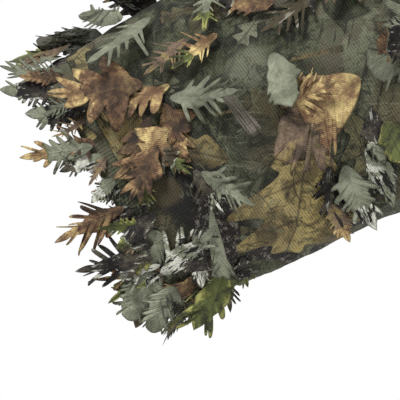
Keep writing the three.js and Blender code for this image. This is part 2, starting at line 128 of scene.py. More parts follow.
class Finish:  # one material and its nodes
    def __init__(self, name, roughness=0.85):
        self.material = bpy.data.materials.new(name)
        self.material.use_nodes = True
        self.tree = self.material.node_tree
        self.shader = self.tree.nodes["Principled BSDF"]
        self.shader.inputs["Roughness"].default_value = roughness
        self.shader.inputs["Specular IOR Level"].default_value = 0.25

    def node(self, kind, settings=None, inputs=None, out=0):
        made = self.tree.nodes.new(kind)
        for key, value in (settings or {}).items():
            if key == "stops":
                ramp = made.color_ramp
                while len(ramp.elements) < len(value):
                    ramp.elements.new(0.5)
                for element, (place, colour) in zip(ramp.elements, value):
                    element.position = place
                    element.color = (*colour, 1.0)
            else:
                setattr(made, key, value)
        for key, value in (inputs or {}).items():
            if isinstance(value, Wire):
                self.tree.links.new(value.socket, made.inputs[key])
            elif isinstance(value, tuple) and len(value) == 3 and made.inputs[key].type == "RGBA":
                made.inputs[key].default_value = (*value, 1.0)
            else:
                made.inputs[key].default_value = value
        return Wire(self, made.outputs[out])

    def mix(self, first, second, factor, mode="MIX"):
        return self.node("ShaderNodeMix", {"data_type": "RGBA", "blend_type": mode},
                         {0: factor, 6: first, 7: second}, out=2)

    def attribute(self, name):
        return self.node("ShaderNodeAttribute", {"attribute_name": name}, out="Fac")

    def noise(self, vector, scale, detail=4.0, rough=0.55, warp=0.0, out="Fac"):
        return self.node("ShaderNodeTexNoise", {}, {"Vector": vector, "Scale": scale, "Detail": detail,
                                                    "Roughness": rough, "Distortion": warp}, out)

    def point(self, x, y, z=0.0):
        return self.node("ShaderNodeCombineXYZ", {}, {0: x, 1: y, 2: z})

    def colours(self, value, stops):
        return self.node("ShaderNodeValToRGB", {"stops": stops}, {0: value})

    def feed(self, socket, value):
        self.tree.links.new(value.socket, self.shader.inputs[socket])

    def bump(self, height, strength, distance):
        normal = self.node("ShaderNodeBump", {}, {"Height": height, "Strength": strength, "Distance": distance})
        self.feed("Normal", normal)


def greyed(value):  # a grey of one brightness
    return (value, value, value)


palette = {  # the print's colours, as dye
    "night": (0.0034, 0.0034, 0.0024), "moor": (0.0105, 0.0105, 0.0062), "pine": (0.022, 0.025, 0.0125),
    "lichen": (0.044, 0.047, 0.027), "fog": (0.078, 0.083, 0.052), "stone": (0.047, 0.041, 0.028),
    "sage": (0.108, 0.114, 0.078), "sageDeep": (0.036, 0.040, 0.025), "sagePale": (0.185, 0.192, 0.140),
    "rust": (0.082, 0.045, 0.023), "rustDeep": (0.022, 0.013, 0.008), "gold": (0.178, 0.118, 0.054),
    "straw": (0.330, 0.255, 0.110), "mauve": (0.092, 0.062, 0.046), "ochre": (0.140, 0.106, 0.042),
    "umber": (0.048, 0.037, 0.017), "moss": (0.018, 0.021, 0.008), "fern": (0.056, 0.064, 0.018),
    "lemon": (0.200, 0.196, 0.058), "bark": (0.0115, 0.0092, 0.0080), "barkPink": (0.120, 0.104, 0.090),
    "birch": (0.300, 0.300, 0.258), "ink": (0.0030, 0.0026, 0.0022),
}


def leafPrint(along, across, length, width, lobes, ragged, deep=0.30):
    # a lobed leaf drawn flat: |across| is inside where it is less than width * sin(pi * t) ** 0.7 * a lobe wave of t,
    # t = (along - 0.55 * |across|) / length, so that the lobes slant forward; its surroundings are in its shade
    off = abs(across)
    share = (along - off * 0.55) / length
    swell = (share.held() * math.pi).sine() ** 0.7
    wave = (share * (2 * math.pi * lobes)).sine() * deep + (1 - deep)
    edge = swell * wave * width - off + (ragged - 0.5) * 0.004
    inside = edge.ramp(0.0, 0.0010)
    shade = edge.ramp(-0.005, 0.0) * share.ramp(-0.05, 0.1) * (1 - share.ramp(0.95, 1.1))
    side = (1 - abs((share * lobes + 0.35).fract() - 0.5) * 18).held()
    rib = (1 - (off / 0.0011).held()).most(side * (1 - (off / width).held()))
    return inside, rib * inside, shade


def twigs(finish, place, scale, thin, gate):
    # the level line of a noise, thin and branching, shown only where another noise lets it be
    line = finish.noise(place, scale, 2.0, 0.5, 1.4)
    return (1 - abs(line - 0.5) * thin).held() * finish.noise(place, scale * 0.5, 1.0).ramp(gate, gate + 0.06)


def printedCloth(name, handPlaced=False):
    # blotched ground with twigs, needles and bark, oak leaves strewn by cells, then the knit's rows over all
    finish = Finish(name, 0.92)
    uv = finish.node("ShaderNodeUVMap", {"uv_map": "UVMap"})
    along = finish.node("ShaderNodeSeparateXYZ", {}, {0: uv}, out=0)
    across = Wire(finish, along.socket.node.outputs[1])
    broad = finish.noise(uv, 8.0, 5.0, 0.6, 0.8)
    middle = finish.noise(uv, 30.0, 5.0, 0.68, 0.8)
    fine = finish.noise(uv, 120.0, 5.0, 0.75)
    ground = finish.colours(broad * 0.34 + middle * 0.36 + fine * 0.30, [
        (0.405, palette["night"]), (0.455, palette["moor"]), (0.490, palette["pine"]), (0.520, palette["lichen"]),
        (0.560, palette["stone"]), (0.600, palette["fog"])])
    ground = finish.mix(ground, palette["umber"], finish.noise(uv, 13.0, 4.0, 0.6, 0.5).ramp(0.54, 0.60) * 0.6)
    # needles: noise stretched into strokes, in three directions
    for turn, colour, gate in ((0.5, "fog", 0.50), (2.2, "night", 0.45), (1.4, "lichen", 0.48)):
        turned = finish.node("ShaderNodeVectorRotate", {"rotation_type": "Z_AXIS"}, {"Vector": uv, "Angle": turn})
        drawn = finish.node("ShaderNodeMapping", {}, {"Vector": turned, "Scale": (26.0, 300.0, 1.0)})
        strokes = (finish.noise(drawn, 1.0, 3.0, 0.6).ramp(0.56, 0.61)
                   * finish.noise(uv, 16.0 + turn, 1.0).ramp(gate, gate + 0.1))
        ground = finish.mix(ground, palette[colour], strokes * 0.75)
    # bark: slanting bands with a pale flaked surface
    slant = (along * 0.92 + across * 0.38) * 5.2 + finish.noise(uv, 7.0, 3.0) * 0.55
    band = (1 - (abs(slant.fract() - 0.5) / 0.085).held()).ramp(0.0, 0.25) * finish.noise(uv, 3.1, 1.0).ramp(0.48, 0.55)
    flakes = finish.noise(uv, 190.0, 3.0, 0.7).ramp(0.53, 0.60)
    ground = finish.mix(ground, finish.mix(palette["bark"], palette["barkPink"], flakes * 0.8), band)
    # strewn leaves, three sizes, each inside a cell of its own
    for scale, cut, tints in ((7.5, 0.22, ("ochre", "umber", "sageDeep", "stone")),
                              (13.0, 0.26, ("sageDeep", "ochre", "fog", "moss")),
                              (24.0, 0.36, ("fog", "umber", "sage", "pine"))):
        cell = finish.node("ShaderNodeTexVoronoi", {"feature": "F1"}, {"Vector": uv, "Scale": scale, "Randomness": 0.6},
                           out="Position")
        dice = finish.node("ShaderNodeSeparateColor", {}, {0: Wire(finish, cell.socket.node.outputs["Color"])}, out=0)
        lot = Wire(finish, dice.socket.node.outputs[1])
        here = finish.node("ShaderNodeVectorMath", {"operation": "SUBTRACT"}, {0: uv, 1: cell})
        turned = finish.node("ShaderNodeVectorRotate", {"rotation_type": "Z_AXIS"},
                             {"Vector": here, "Angle": dice * (2 * math.pi)})
        forward = finish.node("ShaderNodeSeparateXYZ", {}, {0: turned}, out=0)
        sideways = Wire(finish, forward.socket.node.outputs[1])
        length, width = 0.66 / scale, 0.22 / scale
        inside, rib, shade = leafPrint(forward + length / 2, sideways, length, width, 3.0, middle)
        tint = finish.colours(lot, [(0.0, palette[tints[0]]), (0.35, palette[tints[1]]), (0.6, palette[tints[2]]),
                                    (0.85, palette[tints[3]])])
        tint = finish.mix(tint, palette["night"], middle.ramp(0.48, 0.60) * 0.65)
        tint = finish.mix(tint, palette["fog"], fine.ramp(0.56, 0.66) * 0.35)
        tint = finish.mix(tint, palette["night"], rib * 0.6)
        ground = finish.mix(ground, palette["night"], shade * (dice > cut) * 0.75)
        ground = finish.mix(ground, tint, inside * (dice > cut) * 0.95)
    if handPlaced:
        ground = forearmPrintAndShadow(finish, ground, along, across, uv, middle)
    for scale, thin, gate, colour, amount in ((22.0, 60.0, 0.50, "night", 0.8), (46.0, 40.0, 0.50, "fog", 0.55),
                                              (70.0, 26.0, 0.47, "night", 0.7)):
        ground = finish.mix(ground, palette[colour],
                            twigs(finish, finish.point(along, across, scale), scale, thin, gate) * amount)
    # the knit: rows seen as light and dark lines, with finer wales square to them
    rows = ((along + across * 0.12) * (2 * math.pi / 0.0019)).sine()
    wales = (across * (2 * math.pi / 0.0024)).sine()
    threads = rows * 0.8 + wales * 0.2
    cloth = finish.mix(ground, greyed(0.0), threads.ramp(-0.3, 0.9) * 0.32)
    cloth = finish.mix(cloth, palette["fog"], threads.ramp(-0.5, -1.0) * 0.10)
    finish.feed("Base Color", cloth)
    finish.feed("Roughness", 0.86 + fine * 0.12)
    finish.bump(threads + fine * 1.2, 0.55, 0.0004)
    return finish.material


def forearmPrintAndShadow(finish, ground, along, across, uv, middle):
    # what is printed on the forearm near the cuff, and one painted shadow: along from the cuff's edge, across up from
    # the middle
    def spot(centre, radius, soft=0.5):
        gap = ((along - centre[0]) ** 2 + (across - centre[1]) ** 2) ** 0.5
        ragged = gap + (middle - 0.5) * radius * 1.6
        return 1 - ragged.ramp(radius * (1 - soft), radius)

    def turned(base, heading):
        x = along - base[0]
        y = across - base[1]
        cosine, sine = math.cos(heading), math.sin(heading)
        return x * cosine + y * sine, y * cosine - x * sine

    # spots: the ink one at (0.048, -0.024) is a painted shadow, the others are print
    for centre, radius, colour, amount in (
            ((0.048, -0.024), 0.032, "ink", 1.0), ((0.036, 0.050), 0.020, "night", 0.8),
            ((0.100, -0.012), 0.024, "night", 0.6), ((0.170, 0.002), 0.022, "stone", 0.5),
            ((0.018, 0.022), 0.030, "ochre", 0.55), ((0.034, -0.018), 0.014, "umber", 0.5),
            ((0.088, -0.066), 0.018, "fog", 0.4), ((0.122, 0.030), 0.020, "sage", 0.5)):
        ground = finish.mix(ground, palette[colour], spot(centre, radius) * amount)
    # golden-brown oak leaf printed just above the cuff, with straw patches
    x, y = turned((0.046, 0.070), math.pi + 0.35)
    inside, rib, shade = leafPrint(x, y, 0.052, 0.020, 3.0, middle)
    golden = finish.mix(palette["rustDeep"], palette["ochre"], middle.ramp(0.44, 0.54))
    golden = finish.mix(golden, palette["straw"], finish.noise(uv, 70.0, 3.0).ramp(0.54, 0.60) * 0.8)
    ground = finish.mix(finish.mix(ground, palette["night"], shade * 0.7), golden, inside * 0.95)
    # a weathered plank, pale lines along its length
    x, y = turned((0.100, 0.023), -1.36)
    plank = (1 - (abs(y + (middle - 0.5) * 0.006) / 0.0048).ramp(0.8, 1.0)) * x.ramp(-0.003, 0.002) * (
        1 - x.ramp(0.032, 0.038))
    grain = finish.noise(finish.point(x * 40, y * 900), 1.0, 3.0).ramp(0.42, 0.60)
    ground = finish.mix(ground, finish.mix(palette["stone"], palette["barkPink"], grain), plank * 0.9)
    # the broad yellow-brown oak leaf, opening down towards the sleeve's underside
    x, y = turned((0.138, -0.028), math.pi + 1.02)
    inside, rib, shade = leafPrint(x, y, 0.092, 0.052, 3.2, middle, 0.27)
    brown = finish.mix((0.185, 0.145, 0.060), (0.085, 0.064, 0.028), middle.ramp(0.45, 0.56))
    brown = finish.mix(brown, (0.260, 0.205, 0.075),
                       (1 - (abs(y - 0.012) / 0.016).held()) * middle.ramp(0.56, 0.46) * 0.8)
    brown = finish.mix(brown, palette["rustDeep"], finish.noise(uv, 45.0, 4.0, 0.7).ramp(0.54, 0.62) * 0.5)
    brown = finish.mix(brown, palette["night"], rib * 0.75)
    ground = finish.mix(finish.mix(ground, palette["night"], shade * 0.4), brown, inside * 0.96)
    # a trunk of bark beside it, dark with pink flakes
    x, y = turned((0.056, -0.030), -1.62)
    trunk = (1 - (abs(y + (middle - 0.5) * 0.010) / 0.0070).ramp(0.8, 1.0)) * x.ramp(0.0, 0.004)
    flakes = finish.noise(uv, 240.0, 3.0, 0.7).ramp(0.50, 0.58)
    ground = finish.mix(ground, finish.mix(palette["bark"], palette["barkPink"], flakes * 0.85), trunk)
    return ground


def leafCloth(name):
    # each flap is cut from printed cloth: its two looks meet in a ragged border, blotches shade it, its edge is dark,
    # partly its own colour and partly painted shadow, and painted shade darkens it towards its stitches
    finish = Finish(name, 0.88)
    uv = finish.node("ShaderNodeUVMap", {"uv_map": "UVMap"})
    ahead = finish.node("ShaderNodeSeparateXYZ", {}, {0: uv}, out=0)
    off = Wire(finish, ahead.socket.node.outputs[1])
    lot = finish.attribute("lot")          # a number of its own for every flap
    reach = finish.attribute("reach")      # 0 at the stitches, 1 at the tip
    rim = finish.attribute("rim")          # 0 on the midrib, 1 on the cut edge
    place = finish.point(ahead, off, lot * 7.3)
    cloud = finish.noise(place, 20.0, 2.0, 0.5)
    mottle = finish.noise(place, 62.0, 5.0, 0.65, 0.5)
    fleck = finish.noise(place, 230.0, 4.0, 0.75)
    blotch = finish.noise(finish.point(ahead, off, lot * 3.1 + 5), 40.0, 3.0, 0.6, 0.9)
    border = (reach + (cloud - 0.5) * 0.7 + (mottle - 0.5) * 0.4).ramp(0.58, 0.64)
    look = finish.attribute("lookBase") * (1 - border) + finish.attribute("lookTip") * border
    look = (look + 0.5).floor()
    vein = (1 - (abs(off) / 0.0007).held()).most(
        (1 - abs(((ahead - abs(off) * 1.1) * 110).fract() - 0.5) * 14).held() * 0.7)
    twig = twigs(finish, place, 34.0, 34.0, 0.50)
    grain = finish.noise(finish.point(ahead * 90, off * 420, lot * 9), 1.0, 3.0, 0.65)

    def dappled(dark, middle, light):
        return finish.colours(mottle * 0.7 + fleck * 0.3, [
            (0.42, palette[dark]), (0.50, palette[middle]), (0.58, palette[light])])
    sageColour = finish.mix(dappled("sageDeep", "sage", "sagePale"), palette["sage"], 0.5)
    sageColour = finish.mix(sageColour, palette["sageDeep"], (off * 45 + 0.35 + (cloud - 0.5) * 2).held() * 0.6)
    sageColour = finish.mix(sageColour, palette["bark"], twig * 0.9)
    birchColour = finish.mix(finish.mix(palette["sage"], palette["birch"], mottle.ramp(0.46, 0.54)),
                             palette["ink"], grain.ramp(0.52, 0.57))
    charcoal = finish.mix(dappled("ink", "bark", "stone"), palette["birch"], grain.ramp(0.60, 0.63) * 0.6)
    charcoal = finish.mix(charcoal, palette["umber"], cloud.ramp(0.52, 0.6) * 0.5)
    mossColour = finish.mix(dappled("moss", "fern", "fern"), palette["lemon"],
                            (rim - 0.25 + (mottle - 0.5) * 3).ramp(0.5, 0.75) * 0.8)
    mossColour = finish.mix(mossColour, palette["moss"], vein * 0.6)
    goldColour = finish.mix(dappled("rust", "gold", "straw"), palette["rustDeep"], vein * 0.20)
    goldColour = finish.mix(goldColour, palette["rust"], (1 - rim.ramp(0.0, 0.55)) * 0.45)
    rustColour = finish.mix(dappled("rustDeep", "rust", "gold"), palette["straw"], vein * 0.12)
    rustColour = finish.mix(rustColour, palette["rustDeep"], (1 - rim.ramp(0.1, 0.6)) * 0.55)
    mauveColour = finish.mix(dappled("umber", "mauve", "ochre"), palette["rustDeep"], vein * 0.35)
    # looks: 0 charcoal, 1 birch, 2 sage, 3 moss, 4 gold, 5 rust, 6 mauve
    colour = charcoal
    for step, colourOfLook in enumerate((birchColour, sageColour, mossColour, goldColour, rustColour, mauveColour)):
        colour = finish.mix(colour, colourOfLook, look > step + 0.5)
    plain = abs(look - 2) < 0.5
    colour = finish.mix(colour, palette["ink"], blotch.ramp(0.54, 0.66) * (0.62 - plain * 0.30))
    # the cut edge darkened: partly the edge's own dark colour, partly painted shadow along it and between the fingers
    ragged = (rim + (mottle - 0.5) * 0.3).ramp(0.90, 1.0)
    colour = finish.mix(colour, palette["ink"], ragged * 0.50)
    # painted shade: every flap is darkened towards its stitches, where its base lies under the flaps around it
    colour = finish.mix(colour, greyed(0.0), (1 - reach.ramp(0.0, 0.22)) * 0.35)
    rows = ((ahead * 0.8 + off * 0.6) * (2 * math.pi / 0.0013)).sine()
    colour = finish.mix(colour, greyed(0.0), rows.ramp(-0.4, 1.0) * 0.09)
    finish.feed("Base Color", colour)
    finish.feed("Roughness", 0.80 + fleck * 0.16)
    finish.bump(rows * 0.6 + vein * 2.0 + fleck, 0.5, 0.0005)
    return finish.material


def tapeCloth(name, colour, pitch=0.0016):
    # a ribbed woven tape with a row of stitches near one edge; v runs from edge to edge
    finish = Finish(name, 0.9)
    uv = finish.node("ShaderNodeUVMap", {"uv_map": "UVMap"})
    along = finish.node("ShaderNodeSeparateXYZ", {}, {0: uv}, out=0)
    across = Wire(finish, along.socket.node.outputs[1])
    ribs = (along * (2 * math.pi / pitch)).sine() * 0.5 + 0.5
    yarn = (across * (2 * math.pi / (pitch * 0.8))).sine() * 0.5 + 0.5
    dirt = finish.noise(uv, 35.0, 4.0)
    inEdge = abs(across - 0.0025) < 0.0005
    dash = ((along / 0.0032).fract() < 0.68) * inEdge
    base = finish.mix(colour, tuple(c * 1.7 for c in colour), dirt.ramp(0.4, 0.7))
    base = finish.mix(base, greyed(0.0), ribs * yarn * 0.35)
    base = finish.mix(base, palette["lichen"], dash * 0.8)
    finish.feed("Base Color", base)
    finish.feed("Roughness", 0.82 + dirt * 0.15)
    finish.bump(ribs * 0.6 + yarn * 0.4 + dash * 2.0, 0.5, 0.0005)
    return finish.material


def metalFinish(name):
    # dark paint on die-cast metal, rubbed brighter where high spots of the noise lie
    finish = Finish(name, 0.42)
    place = finish.node("ShaderNodeTexCoord", {}, {}, out="Object")
    rub = finish.noise(place, 420.0, 4.0, 0.65)
    worn = rub.ramp(0.56, 0.66)
    finish.feed("Base Color", finish.mix((0.050, 0.052, 0.045), (0.34, 0.33, 0.30), worn * 0.7))
    finish.feed("Metallic", 0.35 + worn * 0.6)
    finish.feed("Roughness", 0.52 - worn * 0.20)
    finish.bump(rub, 0.2, 0.0002)
    return finish.material


def toothFinish(name):
    # satin moulded plastic, a little scuffed
    finish = Finish(name, 0.5)
    place = finish.node("ShaderNodeTexCoord", {}, {}, out="Object")
    scuff = finish.noise(place, 300.0, 3.0, 0.6)
    finish.feed("Base Color", finish.mix((0.030, 0.032, 0.024), (0.075, 0.078, 0.060), scuff.ramp(0.4, 0.7)))
    finish.feed("Roughness", 0.42 + scuff * 0.25)
    finish.bump(scuff, 0.15, 0.0002)
    return finish.material


finishes = {
    "cloth": printedCloth("printedCloth"),
    "forearm": printedCloth("printedForearmCloth", handPlaced=True),
    "leaf": leafCloth("leafCloth"),
    "tape": tapeCloth("wovenTape", (0.018, 0.020, 0.012)),
    "zipTape": tapeCloth("zipTapeCloth", (0.014, 0.015, 0.010), 0.0010),
    "metal": metalFinish("zipMetal"),
    "tooth": toothFinish("zipTooth"),
}
print("finishes made:", len(finishes))


# ---------- mesh helpers ----------

def meshPiece(name, points, faces, uvs, material, attributes=None, smooth=True):
    # points (n, 3), faces (m, 4), uvs (m, 4, 2) at the faces' corners, attributes {name: (n,)}
    used, faces = np.unique(faces, return_inverse=True)
    faces = faces.reshape(-1, 4)
    mesh = bpy.data.meshes.new(name)
    mesh.from_pydata(points[used].tolist(), [], faces.tolist())
    layer = mesh.uv_layers.new(name="UVMap")
    layer.data.foreach_set("uv", uvs.astype(np.float32).ravel())
    for key, values in (attributes or {}).items():
        mesh.attributes.new(key, "FLOAT", "POINT").data.foreach_set("value", values[used].astype(np.float32))
    mesh.polygons.foreach_set("use_smooth", np.full(len(faces), smooth))
    mesh.materials.append(material)
    mesh.update()
    piece = bpy.data.objects.new(name, mesh)
    bpy.context.scene.collection.objects.link(piece)
    return piece


def gridFaces(rows, columns, closed=False):
    # the corners of each face of a grid, and the rows and columns of the faces
    r, c = np.meshgrid(np.arange(rows - 1), np.arange(columns if closed else columns - 1), indexing="ij")
    after = (c + 1) % columns
    faces = np.stack([r * columns + c, r * columns + after, (r + 1) * columns + after, (r + 1) * columns + c], -1)
    return faces, r, c


def gridPiece(name, points, uv, material, closed=True, keep=None):
    # points (rows, columns, 3); uv (rows, columns + 1, 2) if the columns close on themselves
    faces, r, c = gridFaces(*points.shape[:2], closed)
    uvs = np.stack([uv[r, c], uv[r, c + 1], uv[r + 1, c + 1], uv[r + 1, c]], 2)
    flat = points.reshape(-1, 3)
    corner = flat[faces]
    normal = np.cross(corner[..., 2, :] - corner[..., 0, :], corner[..., 3, :] - corner[..., 1, :])
    outward = (normal * (corner.mean(2) - points.mean(1)[:-1, None, :])).sum()
    if outward < 0:
        faces, uvs = faces[..., ::-1], uvs[..., ::-1, :]
    if keep is not None:
        faces, uvs = faces[keep], uvs[keep]
    return meshPiece(name, flat, faces.reshape(-1, 4), uvs.reshape(-1, 4, 2), material)


def dress(piece, body, nodes):
    # a piece that rides one body, for these nodes of the frame
    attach(piece, body)
    if nodes:
        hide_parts(*nodes)


def thicken(piece, thickness=0.0008):
    solid = piece.modifiers.new("cloth", "SOLIDIFY")
    solid.thickness = thickness
    solid.offset = -1.0
    return piece


def unit(v):
    return v / np.linalg.norm(v, axis=-1, keepdims=True)


def lengthOf(points):
    return float(np.linalg.norm(np.diff(points, axis=0), axis=-1).sum())


# ---------- the body's surfaces: each takes a share down its length, a turn round it and a height off it ----------

def signedPower(value, power):
    return np.sign(value) * np.abs(value) ** power


trunkLevels = np.array([  # half width, front, back, z: from the neck's seam down to the hem's band
    (0.092, 0.0850, 0.074, 0.000), (0.130, 0.0860, 0.079, -0.0095), (0.166, 0.0870, 0.084, -0.023),
    (0.206, 0.0879, 0.089, -0.034), (0.240, 0.0889, 0.094, -0.046), (0.255, 0.0903, 0.100, -0.062),
    (0.260, 0.0922, 0.106, -0.084), (0.262, 0.0944, 0.110, -0.110), (0.262, 0.1142, 0.112, -0.340),
    (0.266, 0.1205, 0.112, -0.415), (0.262, 0.1448, 0.118, -0.6995)])
hoodLevels = np.array([  # from the neck seam up to the crown
    (0.088, 0.0815, 0.070, 0.0403), (0.099, 0.0870, 0.090, 0.056), (0.110, 0.0920, 0.106, 0.0763),
    (0.119, 0.0985, 0.124, 0.125), (0.126, 0.1040, 0.138, 0.1951), (0.124, 0.1030, 0.136, 0.232),
    (0.116, 0.1000, 0.130, 0.2664), (0.102, 0.0900, 0.116, 0.297), (0.078, 0.0700, 0.094, 0.3218),
    (0.050, 0.0420, 0.062, 0.334), (0.026, 0.0180, 0.034, 0.3403)])
seatLevels = np.array([
    (0.198, 0.112, 0.104, -0.5323), (0.226, 0.124, 0.106, -0.620), (0.251, 0.1338, 0.107, -0.700),
    (0.251, 0.1356, 0.107, -0.740), (0.251, 0.1500, 0.138, -0.7897)])


def levelAt(levels, share):
    # the levels' sizes at a share of the way along their profile
    steps = np.r_[0, np.cumsum(np.linalg.norm(np.diff(levels[:, [0, 3]], axis=0), axis=1))]
    return [np.interp(share * steps[-1], steps, levels[:, k]) for k in range(4)], steps[-1]


def outlined(levels, share, turn, off):
    # superellipse: x = half * sin^(2/n), y = -depth * cos^(2/n), with its front and back depth apart
    (half, front, back, z), _ = levelAt(levels, share)
    depth = np.where(np.cos(turn) > 0, front, back) + off
    power = 2 / suit["roundness"]
    x = (half + off) * signedPower(np.sin(turn), power)
    return np.stack([x, -depth * signedPower(np.cos(turn), power), z + 0 * turn], -1)


creases = {"depth": 1.0}   # 0 gives the cloth as it was cut, before it folds


def folds(share, turn, seed, deep, around, down):
    # low waves of cloth: sines whose crests wander, whole numbers of them round the body
    draw = np.random.default_rng(seed)
    total = np.zeros(np.broadcast(share, turn).shape)
    for k in range(5):
        n = draw.integers(max(1, around // 2), around + 2)
        m = down * draw.uniform(0.3, 1.3)
        wander = 0.9 * np.sin(2 * np.pi * (share * draw.uniform(0.5, 2.0) + draw.uniform()))
        wave = np.sin(n * turn + wander + 2 * np.pi * (m * share * draw.choice([-1, 1]) + draw.uniform()))
        total += (1 - np.abs(wave)) ** 1.6 - 0.45
    return deep * total / 2.2 * creases["depth"]


def trunkPoint(share, turn, off=0.0):
    fold = folds(share, turn, 5, 0.006, 9, 1.2) * np.clip(share * 3 - 0.6, 0, 1) * np.clip((1 - share) * 9, 0, 1)
    flat = np.clip((np.abs(np.sin(turn)) - 0.10) * 6, 0, 1) + (np.cos(turn) < 0)   # flat beside the zip
    return outlined(trunkLevels, share, turn, off + fold * np.clip(flat, 0, 1))


def hoodPoint(share, turn, off=0.0):
    fold = folds(share, turn, 11, 0.003, 6, 1.0) * np.clip(share * 5, 0, 1) * np.clip((1 - share) * 5, 0, 1)
    return outlined(hoodLevels, share, turn, off + fold)


def seatPoint(share, turn, off=0.0):
    fold = folds(share, turn, 17, 0.0035, 11, 0.8) * np.clip(share * 4, 0, 1) * np.clip((1 - share) * 6, 0, 1)
    return outlined(seatLevels, share, turn, off + fold)


def sleevePoint(side, along, turn, off=0.0):
    # ellipse round the sleeve's falling axis; along is metres from the shoulder pivot, turn 0 is its top
    fall = math.radians(sleeve["fall"])
    share = along / sleeve["length"]
    tall = sleeve["tall"] + (sleeve["tallCuff"] - sleeve["tall"]) * share
    deep = sleeve["deep"] + (sleeve["deepCuff"] - sleeve["deep"]) * share
    calm = np.clip((along - 0.02) * 8, 0, 1) * np.clip((sleeve["length"] - along) * 14, 0.25, 1)
    fold = folds(share, turn, 23 + side, 0.0055, 5, 2.6) * calm
    bent = np.exp(-((along - 0.34) / 0.06) ** 2)   # creases gather at the elbow
    fold = fold + (0.004 * creases["depth"] * bent * np.sin(along * 190 + 1.5 * np.sin(turn))
                   * (0.4 + 0.6 * np.cos(turn / 2 - 0.9) ** 2))
    off = off + fold
    x = side * (sleeve["pivotSide"] + along * math.cos(fall) + (tall + off) * np.cos(turn) * math.sin(fall))
    z = -sleeve["pivotDrop"] - along * math.sin(fall) + (tall + off) * np.cos(turn) * math.cos(fall)
    return np.stack([x + 0 * off, (deep + off) * np.sin(turn), z + 0 * off], -1)


def legPoint(side, drop, turn, off=0.0):
    # ellipse below the hip, drawn in to half of the seat's outline above it
    share = np.clip((drop - leg["crotch"]) / (leg["cuff"] - leg["crotch"]), 0, 1)
    centre = leg["side"] + (leg["sideCuff"] - leg["side"]) * share
    half = leg["half"] + (leg["halfCuff"] - leg["half"]) * share
    deep = leg["deep"] + (leg["deepCuff"] - leg["deep"]) * share
    # half of the seat's outline at the top, its inner side straight, easing into the ellipse
    seat = np.clip((leg["crotch"] + 0.09 - drop) / 0.09, 0, 1)
    seat = seat * seat * (3 - 2 * seat)
    power = 2 / suit["roundness"]
    seatHalf, seatFront, seatBack, _ = seatLevels[-1]
    depth = np.where(np.sin(turn) < 0, seatFront, seatBack)
    outside = np.cos(turn) > 0
    topX = np.where(outside, seatHalf * np.abs(np.cos(turn)) ** power, 0.0008) - leg["side"]
    topY = depth * np.where(outside, signedPower(np.sin(turn), power), np.sin(turn))
    x = half * np.cos(turn) * (1 - seat) + topX * seat
    y = deep * np.sin(turn) * (1 - seat) + topY * seat
    calm = np.clip((drop - leg["crotch"]) * 9, 0, 1) * np.clip((leg["cuff"] - drop) * 12, 0.2, 1)
    fold = folds(share, turn, 31 + side, 0.0065, 6, 2.2) * calm
    bent = np.exp(-((drop - 1.11) / 0.06) ** 2)
    fold = fold + 0.004 * creases["depth"] * bent * np.sin(drop * 150 + np.cos(turn)) + off
    return np.stack([side * (centre + x + fold * np.cos(turn)), y + fold * np.sin(turn), -drop + 0 * fold], -1)


def inSleeve(points, margin):
    # how deep a point is inside a sleeve's section: below 1 - margin it is well inside
    fall = math.radians(sleeve["fall"])
    x = np.abs(points[..., 0]) - sleeve["pivotSide"]
    z = points[..., 2] + sleeve["pivotDrop"]
    along = x * math.cos(fall) - z * math.sin(fall)
    up = x * math.sin(fall) + z * math.cos(fall)
    share = along / sleeve["length"]
    tall = sleeve["tall"] + (sleeve["tallCuff"] - sleeve["tall"]) * share
    deep = sleeve["deep"] + (sleeve["deepCuff"] - sleeve["deep"]) * share
    return ((up / tall) ** 2 + (points[..., 1] / deep) ** 2 < (1 - margin) ** 2) & (along > -0.05)


def inTrunk(points, margin):
    # whether a point is inside the jacket's body by more than margin
    z = points[..., 2]
    levels = trunkLevels[::-1]
    half, front, back = [np.interp(z, levels[:, 3], levels[:, k]) - margin for k in range(3)]
    depth = np.where(points[..., 1] < 0, front, back)
    n = suit["roundness"]
    inside = (np.abs(points[..., 0]) / half) ** n + (np.abs(points[..., 1]) / depth) ** n < 1
    return inside & (z < -margin)


# ---------- cloth pieces ----------

clothPieces = {}


def cutSize(surface, p, turn, keepFaces=None):
    # mean girth, mean length and area of the cloth as cut: the same surface without its folds
    creases["depth"] = 0.0
    plain = surface(p, turn)
    creases["depth"] = 1.0
    ring = np.concatenate([plain, plain[:, :1]], 1)
    girth = np.linalg.norm(np.diff(ring, axis=1), axis=-1).sum(1).mean()
    length = np.linalg.norm(np.diff(plain, axis=0), axis=-1).sum(0).mean()
    corner = [ring[:-1, :-1], ring[:-1, 1:], ring[1:, 1:], ring[1:, :-1]]
    faces = np.linalg.norm(np.cross(corner[2] - corner[0], corner[3] - corner[1]), axis=-1) / 2
    kept = keepFaces(plain) if keepFaces else np.full(faces.shape, True)
    return float(girth), float(length), float(min(faces[kept].sum(), girth * length))


def clothTube(name, surface, low, high, rows, columns, material, held="hung", rests_on=(), keepFaces=None, start=0.0):
    # surface(p, turn, off) over p from low to high and once round
    p, turn = np.meshgrid(np.linspace(low, high, rows), start + np.arange(columns) / columns * 2 * np.pi, indexing="ij")

    def inset(a, b):
        return surface(a, b, -suit["inset"])

    points = inset(p, turn)
    keep = keepFaces(points) if keepFaces else None
    piece = gridPiece(name, points, roundUv(points, low), material, True, keep)
    wide, long, area = cutSize(inset, p, turn, keepFaces)
    thicken(piece)
    clothPieces[name] = dict(piece=piece, flat=(wide, long), area=area, held=held, rests_on=rests_on)
    return piece


